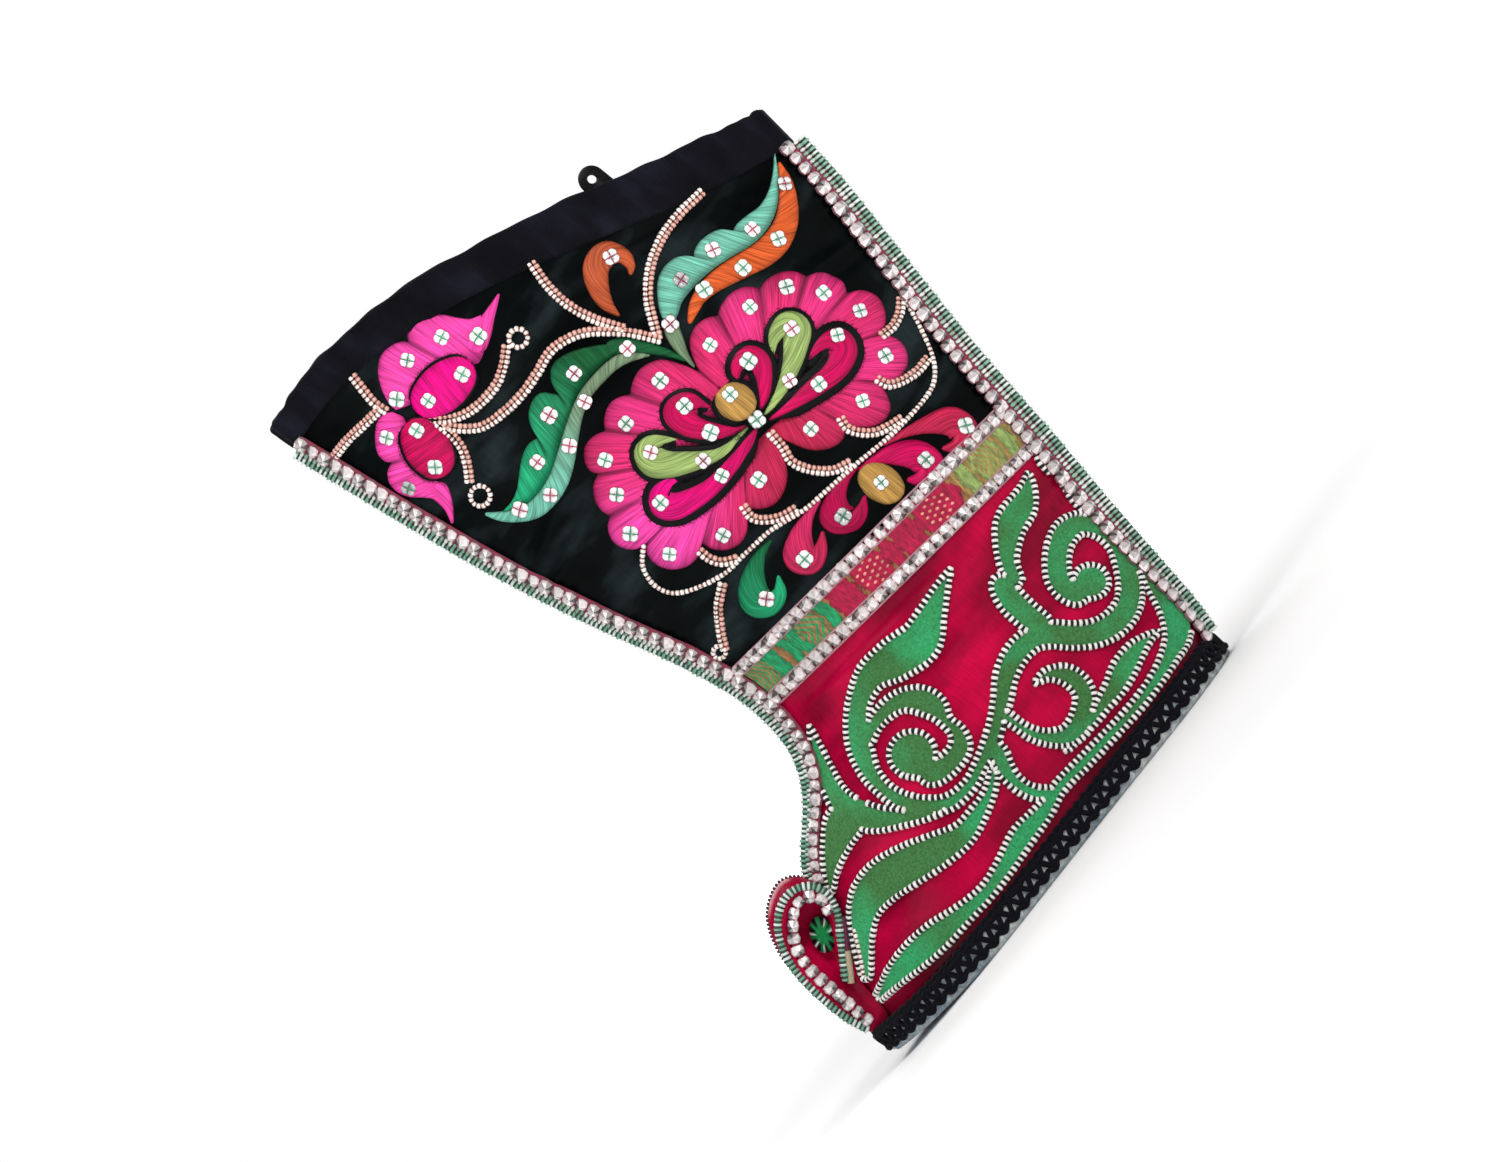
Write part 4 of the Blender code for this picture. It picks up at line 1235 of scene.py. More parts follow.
def cupped_sequin(name):
    """Unit sequin: a thin cup that the crossing threads pinch into four petals."""
    turn = circle_turns(24)
    radius, height = SEQUIN_PROFILE.T[:, :, None]
    petals = 1 - 0.22 * np.abs(np.cos(2 * turn)) ** 5
    cup = height * (0.15 + 0.85 * np.abs(np.sin(2 * turn)) ** 0.7)
    return unit_shape(name, points_of(radius * np.cos(turn) * petals, radius * np.sin(turn) * petals, cup))


def cross_stitch(name):
    """Unit cross of two threads that bow over a sequin."""
    along = np.linspace(-0.46, 0.46, 9)[:, None]
    bow = 0.1 - 0.5 * along ** 2
    turn = circle_turns(6)
    strand = points_of(along, 0.034 * np.cos(turn), bow + 0.034 * np.sin(turn))
    return unit_shape(name, strand, strand[..., (1, 0, 2)] * (1, 1, 1.12))


def both_sides(paths, outwards):
    """The near side's paths and directions followed by their mirror images."""
    flip = np.array((1.0, -1.0, 1.0))
    return list(paths) + [path * flip for path in paths], list(outwards) + [out * flip for out in outwards]


def closed_ends(grid):
    """A tube of points whose first and last rings are drawn together to their middles."""
    ends = grid[(0, -1), :].mean(axis=1, keepdims=True).repeat(grid.shape[1], axis=1)
    return np.concatenate((ends[:1], grid, ends[1:]))


def seam_arc(level, seam, arc):
    """Angle from a seam at which the cloth has run a given length around the boot."""
    steps = np.linspace(0, 0.9, 91)
    return np.interp(arc, run_length(bare_surface(seam + steps, level)), steps)


# Black rim under a petal: share across, share of its height
RIM_PROFILE = np.array((
    (-1, 0.03), (-0.98, 0.8), (-0.92, 1), (-0.4, 1), (0.4, 1), (0.92, 1), (0.98, 0.8), (1, 0.03),
))
# Share of an oval petal's greatest width along its spine
OVAL = np.array((
    (0.0, 0.0), (0.06, 0.46), (0.2, 0.80), (0.5, 1.0), (0.8, 0.80), (0.94, 0.46), (1.0, 0.0),
))
# Shares across the underside of a stroke
UNDERSIDE = (0.98, 0.5, 0.0, -0.5, -0.98)
# Height of a stitched edge, depth of what is stitched into the cloth, and spacing of the rows of threads
STITCH_EDGE = 0.06
STITCH_SINK = 0.5
STITCH_STEP = 1.0
ROUTE_STEP = 1.2


def rounded_ends(path, width):
    """Widths of a stroke whose ends are round."""
    run = run_length(path[:, :2])
    for end_width, distance in ((width[0], run), (width[-1], run[-1] - run)):
        radius = max(end_width / 2, 0.1)
        inside = np.clip(1 - distance / radius, 0, 1)
        width = width * np.sqrt(np.maximum(0.0, 1 - inside ** 2))
    return width


def add_stroke(patch, path, width, profile, sink, colour, slant=0.0):
    """A raised stroke on both panels: the profile has shares across and heights from edge to edge."""
    sides = path_sides(path)
    run = run_length(path[:, :2])[:, None]
    share = np.concatenate((profile[:, 0], UNDERSIDE))
    full = np.clip(width / np.max(width) * 1.6, 0, 1)[:, None] ** 0.5
    heights = np.concatenate((profile[:, 1], np.full(len(UNDERSIDE), -sink)))
    offset = width[:, None] / 2 * share
    x = path[:, 0:1] + sides[:, 0:1] * offset
    z = path[:, 1:2] + sides[:, 1:2] * offset
    out = np.where(heights > 0, heights * full, heights)
    grid = on_panel(x, z, out)
    for end in (0, -1):
        grid[end] = on_panel(path[[end], 0], path[[end], 1], -sink)
    tilt = math.radians(slant)
    uv = np.stack((offset * math.cos(tilt) + run * math.sin(tilt),
                   run * math.cos(tilt) - offset * math.sin(tilt)), axis=-1)
    # Painted shade: each stroke's colour darkens towards its edges, where it turns away
    edge = 1.05 - 0.5 * np.abs(share) ** 5
    patch.add(grid, uv, np.asarray(colour) * edge[:, None], ring=True, mirror=True)
    return points_of(x, z, out).reshape(-1, 3)


def lobed_edge(lobes, step):
    """Places along lobes, their distances from the nearest valley and the middle row of each lobe."""
    places = []
    valley = []
    middles = []
    count = 0
    for lobe, following in zip(lobes[:-1], lobes[1:]):
        path = smooth_path(lobe + following[:1], step)[:-1]
        rows = np.arange(len(path))
        places.append(path)
        valley.append(np.minimum(rows, len(path) - rows) * step)
        middles.append(count + len(path) / 2)
        count += len(path)
    return np.concatenate(places), np.concatenate(valley), np.array(middles)


def blended(at, keys, silks):
    """Colours at places between the keys of named silks."""
    named = np.array([SILK[name] for name in silks])
    return np.stack([np.interp(at, keys, part) for part in named.T], axis=1)


def add_fan(patch, silks, base, lobes, height):
    """A lobed pad on both panels whose threads run from the base to the edge."""
    edge, valley, middles = lobed_edge(lobes, STITCH_STEP)
    closed = base[0] == base[-1]
    if not closed:
        edge = np.concatenate((edge, lobes[-1]))
        valley = np.concatenate((valley, (0.0,)))
    count = len(edge)
    place = np.arange(count) / (count - (0 if closed else 1))
    inner = smooth_path(base, STITCH_STEP / 2)
    inner = inner[np.round(place * (len(inner) - 1)).astype(int)]
    share, rise, tone = FAN_PROFILE.T
    crease = np.exp(-(valley / 1.8) ** 2)[:, None] * np.clip((share - 0.2) / 0.45, 0, 1)
    top = STITCH_EDGE + height * rise * (1 - 0.55 * crease)
    flat = inner[:, None] + (edge - inner)[:, None] * share[:, None]
    under = np.arange(len(share))[::-3]
    flat = np.concatenate((flat, flat[:, under]), axis=1)
    out = np.concatenate((top, np.full((count, len(under)), -STITCH_SINK)), axis=1)
    run = np.linalg.norm(edge - inner, axis=1)[:, None] * np.concatenate((share, share[under]))
    uv = points_of(np.arange(count, dtype=float)[:, None], run)
    turns = np.concatenate((middles - count, middles, middles + count)) if closed else middles
    blend = blended(np.arange(count), turns, list(silks) * (3 if closed else 1))
    # Painted shade: the colour darkens in the creases between lobes, on top of the profile's painted shade
    # and highlight
    tones = tone * (1 - 0.68 * crease)
    colours = blend[:, None] * np.concatenate((tones, tones[:, under]), axis=1)[..., None]
    patch.add(on_panel(flat[..., 0], flat[..., 1], out), uv, colours, ring=True, loop=closed, mirror=True)
    return np.concatenate((flat, out[..., None]), axis=-1).reshape(-1, 3)


def stroke_edges(path, width):
    """Outline of a stroke as one loop of panel places."""
    sides = path_sides(path)
    left = path[:, :2] + sides * width[:, None] / 2
    right = path[:, :2] - sides * width[:, None] / 2
    return np.concatenate((left, right[::-1], left[:1]))


def open_runs(loop, keep):
    """Stretches of a loop whose points are kept."""
    cuts = np.flatnonzero(np.diff(keep)) + 1
    return [run for run, kept in zip(np.split(loop, cuts), np.split(keep, cuts)) if kept[0]]


def join_ends(runs, reach=4.5):
    """Runs of points whose ends meet halfway with the nearest end of another run within reach."""
    ends = np.array([run[k] for run in runs for k in (0, -1)])
    gaps = np.linalg.norm(ends[:, None] - ends[None], axis=2)
    own = np.arange(len(ends)) // 2
    gaps[own[:, None] == own[None]] = np.inf
    nearest = gaps.argmin(axis=1)
    meets = [(ends[k] + ends[nearest[k]])[None] / 2 if gaps[k].min() < reach else ends[:0]
             for k in range(len(ends))]
    return [np.concatenate((meets[2 * i], run, meets[2 * i + 1])) for i, run in enumerate(runs)]


# Cord around the felt: steps of a stroke that are near themselves, cover of a hidden cord, shortest run
SCROLL_NEAR = 16
SCROLL_COVER = 0.9
SCROLL_RUN = 5.0
# Clearance of that cord from the seams, of which the front one has its edging above a level
SCROLL_EDGED = 82.0
SCROLL_CLEAR_EDGED = 7.0
SCROLL_CLEAR_BARE = 3.0
SCROLL_CLEAR_BACK = 6.5


def scroll_outlines(strokes):
    """Runs of cord around the union of the felt strokes, clear of the seams."""
    runs = []
    for i, (path, width) in enumerate(strokes):
        loop = stroke_edges(path, width)
        keep = np.ones(len(loop), bool)
        for j, (other, other_width) in enumerate(strokes):
            gap = np.linalg.norm(loop[:, None] - other[None, :, :2], axis=2) - other_width / 2
            if i == j:
                steps = np.arange(len(path))
                index = np.concatenate((steps, steps[::-1], (0,)))
                gap[np.abs(index[:, None] - steps) < SCROLL_NEAR] = np.inf
            keep &= gap.min(axis=1) > -SCROLL_COVER
        _, level = panel_angles(loop[:, 0], standing(loop[:, 0], loop[:, 1]))
        back_x, front_x = section(level, "back_x", "front_x")
        front_clear = np.where(level > SCROLL_EDGED, SCROLL_CLEAR_EDGED, SCROLL_CLEAR_BARE)
        keep &= (loop[:, 0] < front_x - front_clear) & (loop[:, 0] > back_x + SCROLL_CLEAR_BACK)
        runs += [run for run in open_runs(loop, keep) if run_length(run)[-1] > SCROLL_RUN]
    return [smooth_path(run, ROUTE_STEP) if len(run) > 3 else run for run in join_ends(runs)]


def panel_routes(routes, out, shift=0.0):
    """Paths over the panels for routes of panel places, moved sideways by a shift, with their directions."""
    paths = []
    outwards = []
    for route in routes:
        flat = smooth_path(route, ROUTE_STEP)
        flat = flat[:, :2] + path_sides(flat) * shift
        paths.append(on_panel(*flat.T, out))
        outwards.append(panel_outward(*flat.T))
    return both_sides(paths, outwards)


def panel_places(places, out):
    """Points on both panels with their outward directions."""
    flat = np.array(places, float).T
    return [np.concatenate(pair) for pair in both_sides([on_panel(*flat, out)], [panel_outward(*flat)])]


# Sole: heights of the felt's rings, rows of wool along its edge (height, lift), and loose fibres
SOLE_AROUND = 360
SOLE_HEIGHTS = (0.0, 0.6, 1.6, 2.8, 4.2, 4.8, 5.4, 7.5, 9.5, 11.6, 12.4, 13.0)
YARN_LEVEL = 8.0
YARN_STEPS = 8
YARN_ROWS = ((13.7, 0.9), (11.9, 1.1))
FUZZ_COUNT = 1500
FUZZ_SIZE = (4.2, 0.3, 0.3)
FUZZ_SEED = 9


def sole_edge(theta, height, out):
    """Points that stand out from the edge of the sole."""
    inset = np.interp(height, *SOLE_EDGE.T)
    c = np.cos(theta)
    x = (SOLE_FRONT + SOLE_BACK) / 2 + ((SOLE_FRONT - SOLE_BACK) / 2 - inset + out) * c
    y = (sole_fullness(c) - inset + out) * np.sin(theta)
    return points_of(x, y, height + toe_rise(x))


class BOOT_OT_sole(bpy.types.Operator):
    """Felt sole with its overcast wool and the sock inside"""

    bl_idname = "boot.add_sole"
    bl_label = "Sole"

    def execute(self, context):
        """Builds the sole's pieces."""
        sizes = context.scene.boot_sizes
        theta = circle_turns(SOLE_AROUND, 0.5)
        uneven = 0.35 * np.sin(31 * theta) * np.sin(17 * theta + 1) + 0.25 * np.sin(73 * theta)
        rings = [sole_edge(theta, height, uneven * math.sin(2 + height)) for height in SOLE_HEIGHTS]
        centre_line = np.array((1.0, 0.0, 1.0))
        capped = np.array([rings[0] * centre_line, *rings, rings[-1] * centre_line])
        sew("sole_felt", "sole_felt", "felt", ("sole",), capped)

        dense = np.linspace(0, 2 * math.pi, 2001)
        run = run_length(sole_edge(dense, YARN_LEVEL, 0.0))
        count = int(round(run[-1] / (sizes.yarn_pitch / MM)))
        swing = np.linspace(0, count, count * YARN_STEPS + 1)
        turn = np.interp(swing / count * run[-1], run, dense)
        wave = np.abs(2 * (swing % 1.0) - 1)
        wobble = 0.5 * np.sin(swing * 2.1) + 0.4 * np.sin(swing * 5.3 + 1)
        beat = swing * 2 * math.pi
        rows = [sole_edge(turn, 5.0 + 7.2 * wave + 0.6 * wobble, 1.0 + 0.3 * wobble),
                sole_edge(turn, 4.4 + 0.9 * np.cos(beat) + 0.4 * wobble, 0.7 + 0.2 * wobble)]
        for base, lift in YARN_ROWS:
            rows.append(sole_edge(turn, base + 0.5 * np.sin(1.5 * beat + base), lift + 0.2 * wobble))
        outward = unit(points_of(np.cos(turn), np.sin(turn), 0.0))
        cord("sole_yarn", "wool", "felt", sizes.yarn_width, rows, [outward] * len(rows), 8)

        chance = np.random.default_rng(FUZZ_SEED)
        spots = np.interp(chance.uniform(0, run[-1], FUZZ_COUNT), run, dense)
        points = sole_edge(spots, chance.uniform(0.8, 5.0, FUZZ_COUNT), 0.25)
        droop = chance.uniform(-0.5, 0.2, FUZZ_COUNT)
        facing = unit(points_of(np.cos(spots), np.sin(spots), droop))
        fibre = rounded_barrel("fibre_shape", 1, 3)
        scatter("sole_fuzz", "sole_felt", "felt", fibre, FUZZ_SIZE, points, facing,
                chance.uniform(-math.pi, math.pi, FUZZ_COUNT))
        discard(fibre)

        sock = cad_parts["insole"]
        sock.data.materials.clear()
        sock.data.materials.append(finish("sock_felt"))
        return {"FINISHED"}


CLOTH_AROUND = 320
CLOTHS = (
    # name, node, finish, lowest level, highest level, rows
    ("foot_cloth", "upper", "crimson_satin", SOLE_LEVEL, JOIN_LEVEL, 70),
    ("shaft_cloth", "shaft", "black_satin", JOIN_LEVEL, COLLAR_LEVEL, 96),
)
# Binding: distances of its two faces from the wall, its lumps and the height of its fold over the rim
BINDING_NEAR = 0.3
BINDING_FAR = 1.6
BINDING_LUMPS = 1.1
BINDING_CREST = 1.7
CREST_LUMPS = 0.9


class BOOT_OT_cloth(bpy.types.Operator):
    """Crimson foot, black shaft and the binding of the collar"""

    bl_idname = "boot.add_cloth"
    bl_label = "Cloth"

    def execute(self, context):
        """Builds the two walls and the binding."""
        theta = circle_turns(CLOTH_AROUND, 0.5)
        for name, node, fabric, low, high, steps in CLOTHS:
            outer = np.linspace(low, high, steps)
            inner = np.linspace(high, low, steps // 3)
            out = np.concatenate((np.zeros(len(outer)), np.full(len(inner), -WALL)))
            grid = cloth(theta[:, None], np.concatenate((outer, inner)), out)
            sew(name, fabric, fabric, (node,), grid, loop=True)

        wave = 0.4 * np.sin(11 * theta) + 0.35 * np.sin(23 * theta + 2) + 0.25 * np.sin(41 * theta)
        lumps = BINDING_LUMPS * wave
        fold = np.linspace(BINDING_LEVEL, COLLAR_LEVEL, 12)
        rows = [cloth(theta, BINDING_LEVEL, (BINDING_NEAR + BINDING_FAR) / 2 + lumps)]
        rows += [cloth(theta, level, BINDING_FAR + lumps) for level in fold[1:]]
        rim = bare_surface(theta, COLLAR_LEVEL)
        normal = surface_normals(theta, COLLAR_LEVEL)
        for turn in np.linspace(0, math.pi, 9)[1:-1]:
            reach = (WALL / 2 + BINDING_FAR + lumps) * math.cos(turn) - WALL / 2
            points = rim + normal * reach[:, None]
            points[:, 2] += (BINDING_CREST + CREST_LUMPS * wave) * math.sin(turn)
            rows.append(points)
        rows += [cloth(theta, level, -WALL - BINDING_FAR - lumps) for level in fold[::-1]]
        rows += [cloth(theta, level, -WALL - BINDING_NEAR) for level in (BINDING_LEVEL, COLLAR_LEVEL - 1)]
        rows += [cloth(theta, level, BINDING_NEAR) for level in (COLLAR_LEVEL - 1, BINDING_LEVEL)]
        sew("collar_cloth", "binding_twill", "binding_twill", ("collar_binding",), np.array(rows), loop=True)
        return {"FINISHED"}


# Felt: share across and share of its height; strokes that cross differ a little in height, and the
# couched cord lies at a share of the height
FELT_PROFILE = np.array((
    (-1.0, 0.0), (-0.97, 0.8), (-0.85, 1.0), (-0.4, 1.0), (0.0, 1.0), (0.4, 1.0), (0.85, 1.0), (0.97, 0.8),
    (1.0, 0.0),
))
FELT_EDGE = 0.05
FELT_SINK = 0.4
FELT_STEP = 1.1
FELT_LAYERS = 4
FELT_LAYER = 0.02
COUCHED_SHARE = 0.9
COUCHED_LIFT = 0.1
COUCHED_CORE = 2.7
COUCHED_WRAP = (2.35, 3.2)


class BOOT_OT_scrolls(bpy.types.Operator):
    """Felt scrolls of the foot with the couched cord on their edges"""

    bl_idname = "boot.add_scrolls"
    bl_label = "Felt scrolls"

    def execute(self, context):
        """Builds the felt and its cord."""
        sizes = context.scene.boot_sizes
        height = sizes.felt_height / MM
        profile = FELT_PROFILE * (1.0, height)
        profile[(0, -1), 1] = FELT_EDGE
        patch = Patchwork()
        strokes = []
        for k, knots in enumerate(FELT_STROKES):
            path = smooth_path(knots, FELT_STEP)
            width = rounded_ends(path, np.maximum(path[:, 2], 0.3))
            layer = profile * (1.0, 1.0 + FELT_LAYER * (k % FELT_LAYERS))
            add_stroke(patch, path, width, layer, FELT_SINK, (1.0, 1.0, 1.0))
            strokes.append((path, width))
        settle(patch.build("scroll_felt", finish("scroll_felt")), "felt")

        route = panel_routes(scroll_outlines(strokes), height * COUCHED_SHARE + COUCHED_LIFT)
        cord("scroll_cord_core", "cord_core", "boss_thread", COUCHED_CORE * MM, *route)
        bead = rounded_barrel("wrap_shape", 3, 8)
        size = (COUCHED_WRAP[0], sizes.cord_width / MM, COUCHED_WRAP[1])
        row("scroll_cord_wraps", "white_wrap", "boss_thread", bead, sizes.cord_pitch, size, *route)
        discard(bead)
        return {"FINISHED"}


# Petals: heights as shares of the petal height, steps over which a rim widens, and loose hairs on the rims
FAN_HEIGHT = 0.65
RIM_HEIGHT = 0.8
RIM_SEAT = 0.84
RIMMED_HEIGHT = 0.5
PLAIN_HEIGHT = 0.85
RIM_STEPS = 12
HAIR_SIZE = (2.6, 0.22, 0.22)
HAIR_SEED = 12
# Sequins, which lie on the highest silk within their rest, and foil cord
SEQUIN_SETS = (
    # name, places, thread
    ("green", SEQUINS_GREEN_STITCH, "stitch_green"),
    ("pink", SEQUINS_PINK_STITCH, "stitch_pink"),
)
SEQUIN_REST = 3.4
SEQUIN_SEED = 5
# The copper row's darker, warmer beads are partly painted shade of the double cord's shaded side
FOIL_ROWS = (
    # name, finish of the beads, shift from the middle of a double row, routes of one row
    ("silver", "foil_bead", 1.2, FOIL_SINGLES),
    ("copper", "copper_bead", -1.2, ()),
)
FOIL_CORE = 1.9
FOIL_LIFT = 0.9
FOIL_BEAD = (2.6, 2.3)


class BOOT_OT_embroidery(bpy.types.Operator):
    """Silk petals, sequins and foil cord of the shaft"""

    bl_idname = "boot.add_embroidery"
    bl_label = "Embroidery"

    def execute(self, context):
        """Builds the petals and what is sewn on them."""
        sizes = context.scene.boot_sizes
        height = sizes.petal_height / MM
        across = np.sin(np.linspace(-QUARTER, QUARTER, 13))
        dome = (1 - np.abs(across) ** 2.4) ** 0.75
        patch = Patchwork()
        tops = [add_fan(patch, *fan, height * FAN_HEIGHT) for fan in FANS]
        fringe = []
        for silks, width, angle, rim, spine in PETALS:
            path = smooth_path(spine, STITCH_STEP)
            share = np.linspace(0, 1, len(path))
            widths = np.maximum(0.3, width * smooth_values(*OVAL.T, share) if width else path[:, 2])
            silks = silks.split()
            blend = blended(share, np.linspace(0, 1, len(silks)), silks)
            low = STITCH_EDGE
            if rim:
                start = 1.0 if width else 0.1
                spread = widths + 2 * rim * np.clip(np.arange(len(path)) / RIM_STEPS, start, 1)
                spread = rounded_ends(path, spread)
                level = RIM_PROFILE * (1, RIM_HEIGHT * height)
                add_stroke(patch, path, spread, level, STITCH_SINK, SILK["black"], angle)
                fringe.append(stroke_edges(path, spread))
                low = height * RIM_SEAT
            rise = height * (RIMMED_HEIGHT if rim else PLAIN_HEIGHT)
            level = points_of(across, low + rise * dome)
            widths = rounded_ends(path, widths)
            tops.append(add_stroke(patch, path, widths, level, STITCH_SINK, blend[:, None], angle))
        settle(patch.build("silk_petals", finish("silk")), "brocade")
        tops = np.concatenate(tops)

        chance = np.random.default_rng(HAIR_SEED)
        fringe = np.repeat(np.concatenate(fringe), 2, axis=0)
        fringe += chance.normal(0, 0.25, fringe.shape)
        points, outwards = panel_places(fringe, RIM_HEIGHT * height)
        hair = rounded_barrel("hair_shape", 1, 3)
        scatter("rim_hairs", "wool", "brocade", hair, HAIR_SIZE, points, outwards,
                chance.uniform(-math.pi, math.pi, len(points)))

        size = (sizes.sequin_width / MM,) * 3
        sequin = cupped_sequin("sequin_shape")
        cross = cross_stitch("cross_shape")
        chance = np.random.default_rng(SEQUIN_SEED)
        for name, places, stitches in SEQUIN_SETS:
            under = [np.linalg.norm(tops[:, :2] - place, axis=1) < SEQUIN_REST for place in places]
            seats = np.array([tops[near, 2].max(initial=0.0) for near in under])
            points, outwards = panel_places(places, seats + 0.1)
            turns = chance.uniform(-0.3, 0.3, len(points))
            spots = (size, points, outwards, turns)
            scatter(f"sequins_{name}_sewn", "sequin_foil", "foil_edging", sequin, *spots)
            scatter(f"sequin_stitches_{name}", stitches, "boss_thread", cross, *spots)

        bead = rounded_barrel("bead_shape", 3, 6)
        size = (FOIL_BEAD[0], sizes.foil_width / MM, FOIL_BEAD[1])
        turn = np.linspace(0, 2 * math.pi, 17)
        circle = points_of(np.cos(turn), np.sin(turn))
        eyes = [circle * radius + (x, z) for x, z, radius in FOIL_EYES]
        for name, material, shift, singles in FOIL_ROWS:
            paths, outwards = panel_routes([*FOIL_PAIRS, FOIL_TOE], FOIL_LIFT, shift)
            if singles:
                single, directions = panel_routes([*singles, *eyes], FOIL_LIFT)
                paths += single
                outwards += directions
            cord(f"foil_cord_{name}_core", "copper_core", "foil_edging", FOIL_CORE * MM, paths, outwards)
            row(f"foil_cord_{name}", material, "foil_edging", bead, sizes.foil_pitch, size, paths, outwards)
        discard(hair, sequin, cross, bead)
        return {"FINISHED"}


MEDALLION = (
    "....o....",
    "..o...o..",
    "o...o...o",
    "..o...o..",
    "o...o...o",
    "..o...o..",
    "o...o...o",
    "..o...o..",
    "....o....",
)
CHART_CELL = 1.55
# Ribbon: distance of its ends from the seams, its faces above the cloth, and the colours of its stretches
RIBBON_START = 11.3
RIBBON_TOP = 1.3
RIBBON_SEAT = 0.3
RIBBON_COLUMNS = 25
RIBBON_SEED = 3
RIBBON_GREEN = np.array(srgb(24, 148, 92))
RIBBON_CRIMSON = np.array(srgb(176, 6, 62))
RIBBON_OLIVE = np.array(srgb(142, 166, 92))
RIBBON_TAN = np.array(srgb(150, 104, 62))
RIBBON_STRAW = np.array(srgb(158, 128, 70))
RIBBON_DOT = (2.1, 1.3, 0.8)
PUFF_SIZE = (6.1, 6.6, 4.8)
PUFF_SEAT = 1.4
BAND_THREAD = 1.1
BAND_THREAD_PLACES = (-3, 0, 3)
SIDES = (("left", 1), ("right", -1))


def medallion(centre_x, centre_level):
    """Places of a medallion's dots, at an x and a level of the boot."""
    places = []
    for r, line in enumerate(MEDALLION):
        level = centre_level - (r - (len(MEDALLION) - 1) / 2) * CHART_CELL
        for c, letter in enumerate(line):
            if letter == "o":
                places.append((centre_x + (c - (len(line) - 1) / 2) * CHART_CELL, level))
    return places


def ribbon_colours(x, across):
    """Colours along and across the brocade: satin blocks and hatches on the ground."""
    front = (x > RIBBON_OLIVE_FROM)[:, None]
    zone = np.where(front, RIBBON_CRIMSON, RIBBON_OLIVE)
    zone = np.where((x > RIBBON_GREEN_TO)[:, None], RIBBON_GREEN, zone)[:, None]
    ground = np.where(front, RIBBON_TAN, RIBBON_STRAW)[:, None]
    colour = np.repeat(ground, len(across), axis=1)
    ragged = np.random.default_rng(RIBBON_SEED)
    edge_share = np.abs(across)
    for block_x, mid, edge, lean in RIBBON_BLOCKS:
        reach = mid + (edge - mid) * edge_share + ragged.uniform(-0.5, 0.5, len(across))
        distance = np.abs(x[:, None] - block_x - lean * (0.5 - edge_share))
        colour = np.where((distance < reach)[..., None], zone, colour)
        hem = (distance < reach) & (distance > reach - 0.7)
        colour = np.where(hem[..., None], colour * 0.55, colour)
    along, column = np.indices(colour.shape[:2])
    weave = (along + 2 * np.abs(column - len(across) // 2)) % 8 < 4
    for hatch_x, size in RIBBON_HATCHES:
        inside = (np.abs(x[:, None] - hatch_x) / size + edge_share * 0.75 < 1.25) & weave
        colour = np.where(inside[..., None], ground * 1.1, colour)
    return colour


class BOOT_OT_ankle_bands(bpy.types.Operator):
    """Brocade ribbon between two rows of foil puffs on either side"""

    bl_idname = "boot.add_ankle_bands"
    bl_label = "Ankle bands"

    def execute(self, context):
        """Builds the ribbons, their brocade and the puffs."""
        sizes = context.scene.boot_sizes
        middle = sum(BAND_LEVELS) / 2
        first = seam_arc(middle, FRONT_SEAM, RIBBON_START)
        theta = np.linspace(first, math.pi - seam_arc(middle, BACK_SEAM, RIBBON_START), 420)
        across = np.linspace(-1, 1, RIBBON_COLUMNS)
        level = middle + ((BAND_LEVELS[1] - BAND_LEVELS[0]) / 2 + 1.0) * across
        outer = cloth(theta[:, None], level, RIBBON_TOP)
        inner = cloth(theta[:, None], level[::-1], RIBBON_SEAT)
        centre = outer[:, RIBBON_COLUMNS // 2]
        colour = ribbon_colours(centre[:, 0], across)
        colour = np.concatenate((colour, colour[:, ::-1]), axis=1)
        offset = np.concatenate((level, level[::-1])) - middle
        uv = points_of(run_length(centre)[:, None], offset)
        both_ends = ((1, 1), (0, 0), (0, 0))
        grid = closed_ends(np.concatenate((outer, inner), axis=1))
        for name, side in SIDES:
            sew(f"ankle_ribbon_{name}", "brocade", "brocade", (f"ankle_band_{name}",), grid * (1, side, 1),
                uv=np.pad(uv, both_ends, "edge"), colour=np.pad(colour, both_ends, "edge"))

        dots = np.concatenate([medallion(centre_x, middle) for centre_x in RIBBON_MEDALLIONS])
        angle = np.arccos(share_along(*dots.T))
        level = dots[:, 1]
        points, outwards = both_sides([cloth(angle, level, PUFF_SEAT)], [surface_normals(angle, level)])
        stitch = rounded_barrel("stitch_shape", 3, 6)
        scatter("ribbon_dots", "gold_thread", "brocade", stitch, RIBBON_DOT, np.concatenate(points),
                np.concatenate(outwards), np.zeros(2 * len(dots)))

        puff = faceted_puff("puff_shape")
        paths = [cloth(theta, height, PUFF_SEAT) for height in BAND_LEVELS]
        outwards = [surface_normals(theta, height) for height in BAND_LEVELS]
        row("ankle_puffs", "foil", "foil_edging", puff, sizes.puff_pitch, PUFF_SIZE,
            *both_sides(paths, outwards), QUARTER)
        few = theta[::5]
        paths = [cloth(few, height + place, RIBBON_TOP)
                 for height in BAND_LEVELS for place in BAND_THREAD_PLACES]
        outwards = [surface_normals(few, middle)] * len(paths)
        cord("ankle_threads", "pale_thread", "boss_thread", BAND_THREAD * MM, *both_sides(paths, outwards))
        discard(stitch, puff)
        return {"FINISHED"}


